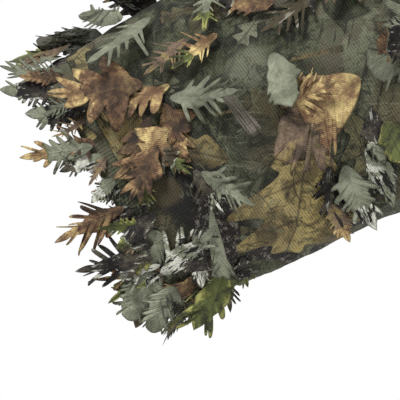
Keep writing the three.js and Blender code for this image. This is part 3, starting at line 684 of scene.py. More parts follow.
def roundUv(points, low=0.0):
    # print coordinates of a tube: u round it and v along it, in metres
    rows, columns = points.shape[:2]
    girth = np.linalg.norm(np.diff(np.concatenate([points, points[:, :1]], 1), axis=1), axis=-1).sum(1).mean()
    length = np.linalg.norm(np.diff(points, axis=0), axis=-1).sum(0).mean()
    v, u = np.meshgrid(np.linspace(0, length, rows) + low, np.linspace(0, girth, columns + 1), indexing="ij")
    return np.stack([u, v], -1)


def faceTest(test):
    # a test on points, as one on the grid's closed faces: a face stays if its middle does
    def keep(points):
        middle = (points[:-1] + points[1:] + np.roll(points, -1, 1)[:-1] + np.roll(points, -1, 1)[1:]) / 4
        return test(middle)
    return keep


jacket = {"rows": 150, "columns": 190, "zipSlot": 0.0072}


def openFront(q):
    return ~((np.abs(q[..., 0]) < jacket["zipSlot"]) & (q[..., 1] < 0))


trunkCloth = clothTube(
    "jacketCloth", trunkPoint, 0, 1, jacket["rows"], jacket["columns"], finishes["cloth"],
    rests_on=("collar_band",), start=np.pi / jacket["columns"],
    keepFaces=faceTest(lambda q: ~inSleeve(q, 0.09) & openFront(q)))
dress(trunkCloth, "jacket", ("jacket_back", "jacket_front_right", "jacket_front_left"))


def bandGrid(name, surface, rows, columns, material, thickness, start=0.0, ribs=0, ribDepth=0.0, keepFaces=None):
    # a narrow ring of cloth with gathers: ribs round it, deepest in its middle
    q, turn = np.meshgrid(np.linspace(0, 1, rows), start + np.arange(columns) / columns * 2 * np.pi, indexing="ij")
    gather = ribDepth * np.sin(ribs * turn) * np.sin(np.pi * q)
    puff = thickness * 0.6 * np.sin(np.pi * q)
    points = surface(q, turn, gather + puff)
    keep = keepFaces(points) if keepFaces else None
    piece = gridPiece(name, points, roundUv(points), material, True, keep)
    wide, long, area = cutSize(lambda a, b: surface(a, b, 0.0), q, turn, keepFaces)
    thicken(piece, thickness)
    clothPieces[name] = dict(piece=piece, flat=(wide, long), area=area, held="stretched", rests_on=())
    return piece


def hemPoint(q, turn, off):
    level = np.array([(suit["chest"], suit["neckFront"] + suit["frontSlope"] * drop, suit["hemBack"], -drop)
                      for drop in (suit["hemTop"], suit["hemLow"])])
    return outlined(level, q, turn, off + 0.0003)


hemBand = bandGrid("hemBand", hemPoint, 9, 220, finishes["tape"], 0.0016, np.pi / 220, 60, 0.0009, faceTest(openFront))
dress(hemBand, "jacket", ["hem_band"])


def collarPoint(q, turn, off):
    level = np.array([(0.0920, 0.085, 0.074, -0.001), (0.088, 0.0816, 0.070, 0.0412)])
    return outlined(level, q, turn, off - 0.0002)


collar = bandGrid("collar", collarPoint, 12, 150, finishes["cloth"], 0.0018, np.pi / 150, 0, 0.0, faceTest(openFront))
dress(collar, "jacket", ["collar_band"])
print("jacket body made")

hood = {"rows": 120, "columns": 170, "plane": 0.062, "side": 0.096, "sill": 0.0923, "brow": 0.3103}


def inFace(q):
    return (np.abs(q[..., 0]) < hood["side"]) & (q[..., 1] < -hood["plane"]) & (q[..., 2] > hood["sill"]) & (
        q[..., 2] < hood["brow"])


steps = np.r_[0, np.cumsum(np.linalg.norm(np.diff(hoodLevels[:, [0, 3]], axis=0), axis=1))]
gussetShare = float(steps[2] / steps[-1])
gusset = clothTube("hoodGusset", hoodPoint, 0, gussetShare, 22, hood["columns"], finishes["cloth"], held="gathered",
                   start=np.pi / hood["columns"])
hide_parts("hood_neck_gusset")
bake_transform(gusset)
hoodCloth = clothTube("hoodCloth", hoodPoint, gussetShare, 1, hood["rows"], hood["columns"], finishes["cloth"],
                      start=np.pi / hood["columns"], keepFaces=faceTest(lambda q: ~inFace(q)))
dress(hoodCloth, "hood", ("hood_centre_panel", "hood_left_panel", "hood_right_panel"))
# the crown closes in a small patch
q, turn = np.meshgrid(np.linspace(1.0, 0.02, 8), np.arange(60) / 60 * 2 * np.pi, indexing="ij")
rim = hoodPoint(np.ones_like(turn), turn, -suit["inset"])
middle = np.array([0.0, 0.008, 0.3405])
cap = middle + (rim - middle) * q[..., None] + np.array([0, 0, 0.0022]) * (1 - q[..., None] ** 2)
crownPatch = gridPiece("hoodCrown", cap, np.stack(np.meshgrid(np.linspace(0, 0.03, 8), np.linspace(0, 0.15, 61),
                                                               indexing="ij"), -1)[..., ::-1], finishes["cloth"])
dress(crownPatch, "hood", None)


# binding round the face: a soft roll carried along the opening's rim
def ropeAlong(name, path, radius, material, ring=12, flatten=1.0, closed=False):
    # a tube: each point of the path carries a circle square to it
    ahead = np.roll(path, -1, 0) - np.roll(path, 1, 0)
    if not closed:
        ahead[0], ahead[-1] = path[1] - path[0], path[-1] - path[-2]
    ahead /= np.linalg.norm(ahead, axis=1)[:, None]
    out = np.cross(ahead, np.cross(np.array([0, -1.0, 0.02]), ahead))
    out /= np.linalg.norm(out, axis=1)[:, None]
    across = np.cross(ahead, out)
    turn = np.arange(ring) / ring * 2 * np.pi
    points = path[:, None] + radius * (out[:, None] * np.cos(turn)[:, None] * flatten + across[:, None] * np.sin(
        turn)[:, None])
    if closed:
        points = np.concatenate([points, points[:1]], 0)
        path = np.concatenate([path, path[:1]], 0)
    run = np.r_[0, np.cumsum(np.linalg.norm(np.diff(path, axis=0), axis=1))]
    u, v = np.meshgrid(run, np.linspace(0, 2 * np.pi * radius, ring + 1), indexing="ij")
    return gridPiece(name, points, np.stack([u, v], -1), material)


def faceRim(count=160):
    # the opening's corners rounded, walked once round; y follows the hood's front
    turn = np.linspace(0, 2 * np.pi, count, endpoint=False)
    x = (hood["side"] + 0.003) * signedPower(np.sin(turn), 0.42)
    low, high = hood["sill"] - 0.003, hood["brow"] + 0.003
    z = (low + high) / 2 + (high - low) / 2 * signedPower(np.cos(turn), 0.42)
    shares = np.linspace(gussetShare, 1, 400)
    (half, front, back, height), _ = levelAt(hoodLevels, shares)
    half, front = np.interp(z, height, half), np.interp(z, height, front)
    n = suit["roundness"]
    y = -front * np.clip(1 - (np.abs(x) / half) ** n, 0.001, 1) ** (1 / n)
    return np.stack([x, np.maximum(y, -front), z], -1)


binding = ropeAlong("hoodBinding", faceRim(), 0.0048, finishes["tape"], 14, 0.7, closed=True)
dress(binding, "hood", ["hood_edge_binding"])
print("hood made")

sleeveGrid = {"upperRows": 120, "forearmRows": 100, "columns": 132}


def sleeveMiddle(side, along):
    # the sleeve's axis: its point at the back, brought to the middle of its depth
    x, y, z = sleevePoint(side, np.array(along), np.array(np.pi / 2))
    return x, y * 0, z


for word, side in sides.items():
    upper = clothTube(f"{word}SleeveCloth", partial(sleevePoint, side), -0.062, sleeve["elbowStart"],
                      sleeveGrid["upperRows"], sleeveGrid["columns"], finishes["cloth"],
                      keepFaces=faceTest(lambda q: ~inTrunk(q, 0.006)))
    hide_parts(f"{word}_sleeve_head", f"{word}_upper_sleeve")
    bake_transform(upper)
    low, high = sleeve["elbowStart"], sleeve["length"] - sleeve["band"]
    p, turn = np.meshgrid(np.linspace(low, high, sleeveGrid["forearmRows"]),
                          np.arange(sleeveGrid["columns"]) / sleeveGrid["columns"] * 2 * np.pi, indexing="ij")
    points = sleevePoint(side, p, turn, -suit["inset"])
    # print coordinates: u from the cuff's edge, v up from the middle of the front, measured round the sleeve
    ring = np.concatenate([points, points[:, :1]], 1)
    step = np.linalg.norm(np.diff(ring, axis=1), axis=-1)
    run = np.concatenate([np.zeros((len(p), 1)), np.cumsum(step, 1)], 1)
    front = int(round(sleeveGrid["columns"] * 0.75))
    v = run - run[:, front:front + 1]
    u = np.repeat((sleeve["length"] - p)[:, :1], sleeveGrid["columns"] + 1, 1)
    piece = gridPiece(f"{word}ForearmCloth", points, np.stack([u, v], -1),
                      finishes["forearm" if word == "right" else "cloth"])
    thicken(piece)
    wide, long, area = cutSize(lambda a, b: sleevePoint(side, a, b, -suit["inset"]), p, turn)
    clothPieces[piece.name] = dict(piece=piece, flat=(wide, long), area=area, held="hung", rests_on=())
    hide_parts(f"{word}_elbow", f"{word}_forearm_sleeve")
    sleeveMiddle(side, sleeve["elbowStart"])
    sleeveMiddle(side, sleeve["elbowEnd"])
    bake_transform(piece)
    cuff = bandGrid(f"{word}CuffBand", lambda q, t, off: sleevePoint(
        side, sleeve["length"] - sleeve["band"] * (1 - q), t, off - 0.0008), 9, 132, finishes["cloth"], 0.002,
        0.0, 40, 0.0008)
    dress(cuff, f"{word}_forearm", [f"{word}_cuff_band"])
print("sleeves made")

trousers = {"columns": 150, "legColumns": 110}
seat = clothTube("trouserSeatCloth", seatPoint, 0, 1, 60, trousers["columns"], finishes["cloth"],
                 start=np.pi / trousers["columns"], rests_on=("waistband",))
dress(seat, "trouser_seat", ("trouser_front", "trouser_seat"))


def waistPoint(q, turn, off):
    level = np.array([(0.198, 0.112, 0.104, -0.500), (0.198, 0.112, 0.104, -0.532)])
    return outlined(level, q, turn, off - 0.0012)


waist = bandGrid("waistBand", waistPoint, 13, 240, finishes["tape"], 0.002, np.pi / 240, 80, 0.0012)
dress(waist, "trouser_seat", ["waistband"])


for word, side in sides.items():
    hip = clothTube(f"{word}HipCloth", partial(legPoint, side), leg["crotch"] - 0.001, leg["kneeStart"], 90,
                    trousers["legColumns"], finishes["cloth"])
    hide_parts(f"{word}_hip", f"{word}_thigh")
    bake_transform(hip)
    shin = clothTube(f"{word}ShinCloth", partial(legPoint, side), leg["kneeStart"], leg["cuff"] - leg["band"], 110,
                     trousers["legColumns"], finishes["cloth"])
    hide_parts(f"{word}_knee", f"{word}_shin")
    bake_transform(shin)
    cuff = bandGrid(f"{word}LegCuff", lambda q, t, off: legPoint(
        side, leg["cuff"] - leg["band"] * (1 - q), t, off - 0.0008), 9, 120, finishes["tape"], 0.002, 0.0, 44, 0.0009)
    dress(cuff, f"{word}_shin", [f"{word}_leg_cuff"])
print("trousers made")


# ---------- zip ----------

zipPlace = {"lean": math.atan(suit["frontSlope"]), "front": suit["neckFront"], "pitch": 0.0032}


def zipFrame(x, inward, up):
    # from the zip's leaning plane to the suit's frame
    lean = zipPlace["lean"]
    y = -zipPlace["front"] + inward * math.cos(lean) + up * math.sin(lean)
    return np.stack([x, y, up * math.cos(lean) - inward * math.sin(lean)], -1)


for word, side in sides.items():
    railLow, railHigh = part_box(f"zip_teeth_{word}")
    topUp = railHigh.z / math.cos(zipPlace["lean"])
    bottomUp = railLow.z / math.cos(zipPlace["lean"])
    inward = ((railLow.y + railHigh.y) / 2 + zipPlace["front"] - (topUp + bottomUp) / 2 * math.sin(
        zipPlace["lean"])) / math.cos(zipPlace["lean"])
    # teeth: short rounded blocks with a waisted neck, every other one on each side
    count = int((topUp - bottomUp - 0.004) / zipPlace["pitch"])
    level = bottomUp + 0.002 + (np.arange(count) + (0.25 if side > 0 else 0.75)) * zipPlace["pitch"]
    turn = np.arange(8) / 8 * 2 * np.pi + np.pi / 8
    profile = np.array([[0.0030, 0.55, 0.0011], [0.0024, 0.55, 0.0011], [0.0018, 0.40, 0.0009], [0.0010, 0.62, 0.0012],
                        [0.0003, 0.50, 0.0009], [0.0, 0.05, 0.0001]])   # distance from the middle, length, thickness
    x = side * (profile[:, 0] + 0.00015)[None, :, None] + 0 * level[:, None, None] + 0 * turn
    up = level[:, None, None] + zipPlace["pitch"] * 0.5 * profile[:, 1][None, :, None] * np.cos(turn)
    deep = inward + profile[:, 2][None, :, None] * np.sin(turn) + 0 * up
    points = zipFrame(x, deep, up)
    n, k, m = points.shape[:3]
    one = gridFaces(k, m, closed=True)[0].reshape(-1, 4)
    if side < 0:
        one = one[:, ::-1]
    faces = (one[None] + (np.arange(n) * k * m)[:, None, None]).reshape(-1, 4)
    teeth = meshPiece(f"zipTeeth_{word}", points.reshape(-1, 3), faces, np.zeros((len(faces), 4, 2)), finishes["tooth"])
    dress(teeth, "jacket", [f"zip_teeth_{word}"])
    # tape: a flat band with a bead beside the teeth
    low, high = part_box(f"zip_tape_{word}")
    inner, outer = sorted((abs(low.x), abs(high.x)))
    top, bottom = high.z / math.cos(zipPlace["lean"]), low.z / math.cos(zipPlace["lean"])
    up, share = np.meshgrid(np.linspace(top, bottom, 150), np.linspace(0, 1, 12), indexing="ij")
    bead = 0.0007 * np.exp(-(share / 0.12) ** 2)
    ripple = 0.0003 * np.sin(up * 260) * share
    points = zipFrame(side * (inner + (outer - inner) * share), inward - bead + ripple, up)
    uv = np.stack([top - up, share * (outer - inner)], -1)
    tape = gridPiece(f"zipTape_{word}", points, uv, finishes["zipTape"], closed=False)
    thicken(tape, 0.0005)
    clothPieces[tape.name] = dict(piece=tape, flat=(float(outer - inner), float(top - bottom)), area=None,
                                  held="stretched", rests_on=("jacketCloth",))
    dress(tape, "jacket", [f"zip_tape_{word}"])

# hanger loop: a strip folded double and hanging in a bow; its two cut edges meet underneath, where it is sewn
loopLow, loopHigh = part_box("hanger_loop")
strap = {"half": 0.032, "wide": 0.0076, "ply": 0.0005, "sag": 0.016}
s, turn = np.meshgrid(np.linspace(-1, 1, 60), np.linspace(0.02, 2 * np.pi - 0.02, 17), indexing="ij")
half = strap["half"]
bow = np.stack([half * s, np.full_like(s, (loopLow.y + loopHigh.y) / 2), 0.020 - strap["sag"] * (1 - s ** 2)], -1)
slope = unit(np.stack([np.full_like(s, half), np.zeros_like(s), 2 * strap["sag"] * s], -1))
square = np.stack([-slope[..., 2], np.zeros_like(s), slope[..., 0]], -1)
edge = strap["wide"] / 2 * signedPower(np.cos(turn), 0.5)[..., None]
points = bow + square * edge + np.array([0, strap["ply"], 0]) * signedPower(np.sin(turn), 0.5)[..., None]
run = np.r_[0, np.cumsum(np.linalg.norm(np.diff(points[:, 0], axis=0), axis=1))]
girth = lengthOf(points[30])
u, v = np.meshgrid(run, np.linspace(0, girth, 17), indexing="ij")
loop = gridPiece("hangerLoop", points, np.stack([u, v], -1), finishes["tape"], closed=False)
thicken(loop, 0.0003)
clothPieces["hangerLoop"] = dict(piece=loop, flat=(float(girth), float(run[-1])), area=None, held="hung",
                                 rests_on=("collar",))
dress(loop, "jacket", ["hanger_loop"])
for node in ("zip_slider", "zip_pull", "zip_bottom_box", "zip_top_stop_right", "zip_top_stop_left"):
    part = frame["nodes"][node]
    part.data.materials.clear()
    part.data.materials.append(finishes["metal"])
    bevel = part.modifiers.new("edges", "BEVEL")
    bevel.width, bevel.segments = 0.00025, 2
print("zip made")


# ---------- leaves ----------

def bladeEdge(station, form):
    # height of the cut edge over the midrib, in leaf lengths, and the angle its fingers lean at.
    # core: out to its width at the belly, then tapering. bumps: (1 - |s| ** blunt) ** 0.6 each, the tallest one counts.
    core = form["width"] * np.minimum(1, station / form["belly"]) ** form["rise"] * (
        1 - form["taper"] * np.clip(station - form["belly"], 0, 1) ** 1.2)
    finger = np.zeros_like(station)
    for places, lengths, wides, blunt in (form["lobes"], form["teeth"]):
        gap = np.abs((station[:, None] - places) / wides)
        bump = np.clip(1 - gap ** blunt, 0, 1) ** 0.6 * lengths
        finger = finger + (bump.max(1) if bump.size else 0.0)
    tip = np.clip((station - 0.86) / 0.14, 0, 1)
    height = (core + finger) * (1 - tip) + form["tip"] * tip ** 0.8
    lean = np.interp(station, [0, 0.15, 0.86, 1.0],
                     [form["back"], min(form["lean"], form["back"]), form["lean"] * 0.5, 0])
    sweep = np.interp(station, form["teeth"][0], form["sweep"]) * np.clip((0.9 - station) * 8, 0, 1)
    return core, height, np.radians(lean + sweep)


def bladePoints(station, form, columns, side):
    # from the midrib outwards: M + r * (cos lean, sin lean), r from 0 to the cut edge
    core, height, lean = bladeEdge(station, form)
    r = np.linspace(0, 1, columns)
    x = 0.8 * station[:, None] + height[:, None] * np.cos(lean)[:, None] * r
    y = side * height[:, None] * np.sin(lean)[:, None] * r
    finger = np.clip(height - core, 0, None)[:, None] * r
    return x, y, finger, np.broadcast_to(r, x.shape)


# how each kind of flap is cut: core width, number and length of broad lobes, of narrow fingers, and their lean.
# wide is a bump's half width as a share of the spacing
cuts = {
    "oak": dict(width=(0.10, 0.14), lobes=3, lobeLong=(0.20, 0.34), lobeWide=0.52, lobeBlunt=1.4, teeth=4,
                long=(0.01, 0.05),
                wide=0.34, blunt=1.5, lean=(52, 68), taper=0.6),
    "hand": dict(width=(0.07, 0.11), lobes=2, lobeLong=(0.02, 0.08), lobeWide=0.6, lobeBlunt=2, teeth=5,
                 long=(0.12, 0.36),
                 wide=0.27, blunt=2.4, lean=(48, 66), taper=0.55),
    "comb": dict(width=(0.15, 0.22), lobes=2, lobeLong=(0.02, 0.07), lobeWide=0.6, lobeBlunt=2, teeth=6,
                 long=(0.05, 0.20),
                 wide=0.30, blunt=2.8, lean=(60, 78), taper=0.45),
    "fan": dict(width=(0.30, 0.36), lobes=2, lobeLong=(0.02, 0.05), lobeWide=0.7, lobeBlunt=2, teeth=8,
                long=(0.05, 0.20),
                wide=0.28, blunt=2.6, lean=(66, 80), taper=0.35),
    "wedge": dict(width=(0.18, 0.24), lobes=2, lobeLong=(0.02, 0.05), lobeWide=0.6, lobeBlunt=1.6, teeth=4,
                  long=(0.02, 0.10),
                  wide=0.30, blunt=1.8, lean=(62, 76), taper=0.7, belly=0.42),
    "broad": dict(width=(0.33, 0.35), lobes=0, lobeLong=(0, 0), lobeWide=0.6, lobeBlunt=2, teeth=8, long=(0.12, 0.19),
                  wide=0.30, blunt=2.8, lean=(70, 74), taper=0.75, belly=0.48, span=(0.36, 0.90)),
    "smooth": dict(width=(0.27, 0.29), lobes=3, lobeLong=(0.03, 0.06), lobeWide=0.5, lobeBlunt=1.8, teeth=2,
                   long=(0.0, 0.02),
                   wide=0.30, blunt=1.8, lean=(68, 72), taper=0.75, belly=0.30),
    "flag": dict(width=(0.20, 0.24), lobes=0, lobeLong=(0, 0), lobeWide=0.6, lobeBlunt=2, teeth=3, long=(0.05, 0.14),
                 wide=0.34, blunt=2.0, lean=(54, 60), taper=0.5, belly=0.86, rise=1.0, span=(0.66, 0.98)),
    "claw": dict(width=(0.28, 0.32), lobes=0, lobeLong=(0, 0), lobeWide=0.6, lobeBlunt=2, teeth=3, long=(0.22, 0.38),
                 wide=0.32, blunt=2.4, lean=(46, 54), taper=0.8, belly=0.26, span=(0.36, 0.90)),
    "round": dict(width=(0.26, 0.32), lobes=3, lobeLong=(0.08, 0.12), lobeWide=0.5, lobeBlunt=2.4, teeth=8,
                  long=(0.01, 0.03),
                  wide=0.4, blunt=2, lean=(66, 78), taper=0.3),
}


def leafForm(draw, kind, fingers=None, wider=1.0):
    cut = cuts[kind]
    first, last = cut.get("span", (0.15, 0.83))

    def bumps(count, long, wide, blunt):
        if not count:
            return np.zeros(0), np.zeros(0), np.ones(0), blunt
        spacing = (last - first) / count
        places = first + spacing * (np.arange(count) + 0.5) + draw.uniform(-0.22, 0.22, count) * spacing
        fade = np.interp(places, [0.15, 0.35, 0.85], [0.75, 1.0, 0.7])
        return places, draw.uniform(*long, count) * fade, spacing * wide * draw.uniform(0.8, 1.15, count), blunt
    teeth = bumps(fingers or cut["teeth"], [k + (0.10 if fingers and kind == "oak" else 0) for k in cut["long"]],
                  cut["wide"], cut["blunt"])
    return dict(width=draw.uniform(*cut["width"]) * wider, taper=cut["taper"], belly=cut.get("belly", 0.22),
                rise=cut.get("rise", 0.6), lean=draw.uniform(*cut["lean"]), tip=0.2, back=108,
                lobes=bumps(0 if fingers else cut["lobes"], cut["lobeLong"], cut["lobeWide"], cut["lobeBlunt"]),
                teeth=teeth, sweep=draw.uniform(-13, 13, len(teeth[0])))


def placed(points, base, ahead, out):
    # leaf coordinates (x ahead, y across, z out) to the suit's frame
    across = np.cross(out, ahead)
    return base + points[..., :1] * ahead + points[..., 1:2] * across + points[..., 2:3] * out


def heroLeaf(name, base, ahead, out, length, forms, looks, lot, bend=0.06, cup=0.10, twist=0.0, droop=0.5, sway=0.0,
             columns=5, stations=170, seed=1):
    # one detailed flap: two halves on a shared midrib, bent along its length and cupped across
    draw = np.random.default_rng(seed)
    station = np.linspace(0, 1, stations)
    halves = []
    for side, form in zip((1, -1), forms):
        x, y, finger, r = bladePoints(station, form, columns, side)
        z = bend * x ** 2 - cup * y ** 2 / 0.3 + twist * x * y
        places = form["teeth"][0]
        curl = np.interp(station, places, draw.uniform(-1, 1, len(places)))[:, None]
        z = z + droop * finger * curl + 0.012 * np.sin(9 * x + 4 * y + lot * 9)
        halves.append((np.stack([x, y + sway * x ** 2, z], -1) * length, x, r))
    (left, reachL, rimL), (right, reachR, rimR) = halves
    grid = np.concatenate([left[:, ::-1], right[:, 1:]], 1)
    reach = np.concatenate([reachL[:, ::-1], reachR[:, 1:]], 1)
    rim = np.concatenate([rimL[:, ::-1], rimR[:, 1:]], 1)
    world = placed(grid, base, ahead, out)
    rows, count = grid.shape[:2]
    faces = gridFaces(rows, count)[0][..., [0, 3, 2, 1]].reshape(-1, 4)
    uvs = grid[..., :2].reshape(-1, 2)[faces]
    total = rows * count
    attributes = {"lot": np.full(total, lot), "lookBase": np.full(total, float(looks[0])),
                  "lookTip": np.full(total, float(looks[1])), "reach": reach.ravel(), "rim": rim.ravel()}
    piece = meshPiece(name, world.reshape(-1, 3), faces, uvs, finishes["leaf"], attributes)
    thicken(piece, 0.0005)
    return piece


def surfaceFrame(surface, p, turn, off):
    # point, outward normal and the direction of growing p, by small differences
    step = 1e-3
    here = surface(p, turn, off)
    down = unit(surface(p + step, turn, off) - surface(p - step, turn, off))
    around = unit(surface(p, turn + step, off) - surface(p, turn - step, off))
    return here, unit(np.cross(around, down)), down


looksOf = {"charcoal": 0, "birch": 1, "sage": 2, "moss": 3, "gold": 4, "rust": 5, "mauve": 6}

# the flaps sewn by hand near the right cuff: along from the cuff's edge and across up from the front's middle,
# in millimetres; heading turns the tip down from straight out of the cuff; lift is the base's height off the cloth
def flap(along, across, heading, length, cut, looks, lift=3, tilt=6, wider=1.0, node=None):
    # cut is one kind for both halves, or a pair: the half on the underside of the sleeve first
    return dict(along=along, across=across, heading=heading, length=length,
                cut=(cut, cut) if isinstance(cut, str) else cut,
                looks=looks, lift=lift, tilt=tilt, wider=wider, node=node)


def hinged(node, length, cut, looks, lift=5, tilt=10, wider=1.0):
    # a flap that is one of the frame's nodes: the joint it swings on says where its base is and which way it points
    return flap(None, None, None, length, cut, looks, lift, tilt, wider, node)


hinges = {j["name"]: {"place": np.array(j["pos_m"]), "axis": unit(np.array(j["axis"]))}
          for j in frame["joints"] if j["name"].endswith("_lift")}
handSewn = {
    "topSage": hinged("cuff_leaf_top", 46, "comb", ("charcoal", "sage"), 4, 12),
    "topGrey": flap(4, 84, -40, 44, "hand", ("sage", "sage"), 2, 8),
    "topLow": flap(8, 55, -20, 38, "comb", ("charcoal", "sage"), 2, 6),
    "topInner": flap(20, 56, -12, 36, "hand", ("charcoal", "sage"), 1, 3),
    "goldenTip": hinged("cuff_leaf_golden", 50, "hand", ("sage", "gold"), 4, 12, 1.5),
    "goldenUnder": flap(7, 22, -4, 30, "comb", ("birch", "charcoal"), 2, 4),
    "smallRust": flap(8, 5, 18, 22, "hand", ("charcoal", "rust"), 2, 8),
    "smallBirch": flap(8, -4, -2, 20, "hand", ("birch", "charcoal"), 1, 4),
    "rustFingers": hinged("cuff_leaf_rust", 52, "hand", ("rust", "gold"), 4, 10, 1.6),
    "rustUnder": flap(10, -20, -4, 34, "oak", ("charcoal", "rust"), 2, 5),
    "oliveCorner": flap(22, -28, 22, 36, "wedge", ("charcoal", "moss"), 3, 10),
    "charcoalSpray": hinged("cuff_leaf_charcoal", 54, "hand", ("charcoal", "charcoal"), 4, 10, 1.4),
    "charcoalLow": flap(8, -60, -10, 46, "hand", ("birch", "rust"), 3, 6),
    "lemonSpray": flap(0, -62, 8, 36, "oak", ("moss", "moss"), 2, 4),
    "oliveFan": flap(20, -46, 4, 36, "fan", ("sage", "moss"), 1, 4),
    "sageFan": hinged("cuff_leaf_fan", 36, "fan", ("sage", "sage"), 5, 12),
    "sageCuff": flap(2, -62, 34, 38, "fan", ("sage", "sage"), 3, 6, 1.1),
    "fanEdge": flap(6, -62, 42, 46, "comb", ("mauve", "mauve"), 1, 2, 1.4),
    "mossWide": hinged("sleeve_leaf_moss", 44, "claw", ("moss", "moss"), 6, 14, 1.3),
    "mossLow": flap(30, -84, 50, 36, "hand", ("moss", "charcoal"), 3, 6),
    "barkLow": flap(50, -82, 62, 36, "hand", ("moss", "charcoal"), 4, 6, 1.5),
    "mossEnd": flap(60, -84, 78, 32, "hand", ("charcoal", "moss"), 1, 4, 1.4),
    "brownLow": flap(26, -78, 32, 34, "comb", ("rust", "charcoal"), 2, 4),
    "brownFan": flap(16, -78, 20, 30, "comb", ("mauve", "charcoal"), 2, 4),
    "goldOak": hinged("sleeve_leaf_gold", 64, "oak", ("rust", "gold"), 6, 11, 1.3),
    "goldTwin": flap(70, 44, 6, 44, "oak", ("gold", "rust"), 2, 3),
    "rustWide": flap(58, 18, 18, 54, "oak", ("gold", "rust"), 3, 5, 1.1),
    "brownUpper": flap(48, 30, 44, 44, "oak", ("rust", "rust"), 3, 4, 1.2),
    "brownOak": hinged("sleeve_leaf_brown", 44, "oak", ("rust", "rust"), 6, 12, 1.2),
    "brownTwin": flap(52, 18, 84, 34, "oak", ("rust", "gold"), 2, 4),
    "rustNarrow": flap(60, 34, 92, 42, "oak", ("rust", "gold"), 2, 3),
    "darkUnder": flap(40, 12, 120, 34, "hand", ("charcoal", "moss"), 2, 6),
    "mossUnder": flap(28, 0, 60, 30, "hand", ("moss", "charcoal"), 2, 5),
    "sageHand": hinged("sleeve_leaf_sage", 50, "hand", ("sage", "sage"), 6, 13, 1.4),
    "sageLower": hinged("sleeve_leaf_grey", 44, "hand", ("sage", "sage"), 6, 13, 1.6),
    "sageTuft": flap(58, -14, 100, 36, "hand", ("charcoal", "birch"), 3, 8, 1.2),
    "birchCuff": flap(6, -64, -168, 52, "hand", ("birch", "sage"), 5, 8, 1.5),
    "birchUnder": flap(20, -56, 176, 34, "hand", ("charcoal", "birch"), 3, 6),
    "sagePatch": flap(57, -40, 68, 48, "flag", ("sage", "sage"), 7, 4, 1.45),
    "birchLow": flap(38, -56, 70, 34, "comb", ("charcoal", "birch"), 3, 6),
    "coneLow": flap(40, -66, 62, 28, "round", ("mauve", "charcoal"), 1, 2),
    "broadTan": hinged("sleeve_leaf_broad", 80, ("broad", "smooth"), ("gold", "mauve"), 5, 8),
    "creamFingers": flap(128, -4, 176, 42, "hand", ("gold", "gold"), 14, 8, 1.3),
    "creamUnder": flap(126, 8, 164, 34, "hand", ("moss", "gold"), 3, 5),
    "topPatch": flap(140, 28, 84, 46, "wedge", ("sage", "sage"), 5, 6, 1.3),
    "snowBark": hinged("sleeve_leaf_snow", 50, "comb", ("sage", "birch"), 6, 12, 1.2),
    "snowRight": flap(168, -56, 96, 48, "wedge", ("birch", "birch"), 2, 3),
    "snowLeft": flap(140, -56, 62, 42, "hand", ("charcoal", "charcoal"), 2, 4, 1.4),
    "creamSmall": flap(130, -78, 92, 30, "comb", ("mauve", "gold"), 4, 8),
    "limeRound": flap(186, -46, 92, 30, "round", ("moss", "moss"), 4, 8),
    "darkRight": flap(182, -34, 70, 40, "wedge", ("charcoal", "sage"), 1, 3),
}
heroPieces = []
fall = math.radians(sleeve["fall"])
for order, (name, leaf) in enumerate(handSewn.items()):
    node = leaf["node"]
    if node:   # its base is the joint's own place: measured along and up the sleeve
        hinge = hinges[f"{node}_lift"]
        x, z = -hinge["place"][0] - sleeve["pivotSide"], hinge["place"][2] + sleeve["pivotDrop"]
        along, across = x * math.cos(fall) - z * math.sin(fall), x * math.sin(fall) + z * math.cos(fall)
    else:
        along, across = sleeve["length"] - leaf["along"] / 1000, leaf["across"] / 1000
    tall = sleeve["tall"] + (sleeve["tallCuff"] - sleeve["tall"]) * along / sleeve["length"]
    turn = 1.5 * math.pi + math.asin(max(-0.98, min(0.98, across / tall)))
    base, out, down = surfaceFrame(lambda p, t, off: sleevePoint(-1, p, t, off), np.array(along), np.array(turn),
                                   leaf["lift"] / 1000)
    out = out if out @ np.array([0, -1, 0]) > 0 else -out
    if node:
        ahead = unit(np.cross(out, hinge["axis"]))
        out = unit(np.cross(hinge["axis"], ahead))
    else:
        heading = math.radians(leaf["heading"])
        sideways = np.cross(out, down)
        sideways = sideways if sideways[2] < 0 else -sideways
        ahead = unit(down * math.cos(heading) + sideways * math.sin(heading))
    tilt = math.radians(leaf["tilt"])
    ahead, out = (unit(ahead * math.cos(tilt) + out * math.sin(tilt)),
                  unit(out * math.cos(tilt) - ahead * math.sin(tilt)))
    draw = np.random.default_rng(400 + order)
    forms = [leafForm(draw, kind, wider=leaf["wider"]) for kind in leaf["cut"]]
    for form in forms:
        form["back"] = 84 if node else 104   # nothing of a hinged flap lies behind its hinge
    piece = heroLeaf(name, base, ahead, out, leaf["length"] / 1000, forms, [looksOf[k] for k in leaf["looks"]],
                     draw.uniform(0, 1), seed=500 + order, twist=draw.uniform(-0.3, 0.3),
                     sway=draw.uniform(-0.14, 0.14))
    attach(piece, node or "right_forearm")
    if node:
        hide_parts(node)
    heroPieces.append(piece)
print("hand-sewn leaves:", len(heroPieces))

# strewn leaves: a few cut shapes, each a strip of some forty faces
strewn = {
    "spacing": 0.0335, "shapes": 16, "small": 0.034, "large": 0.070, "fingers": 5,
    "looks": (0.17, 0.10, 0.27, 0.12, 0.09, 0.16, 0.09),   # share of the flaps that has each look
    "plain": 0.55,                                         # share that has one look all over
}
strewnPieces = {}
strewnCounts = []
shapeDraw = np.random.default_rng(77)
stationsPerFinger = np.array([-1.0, -0.42, 0.36, 1.0])


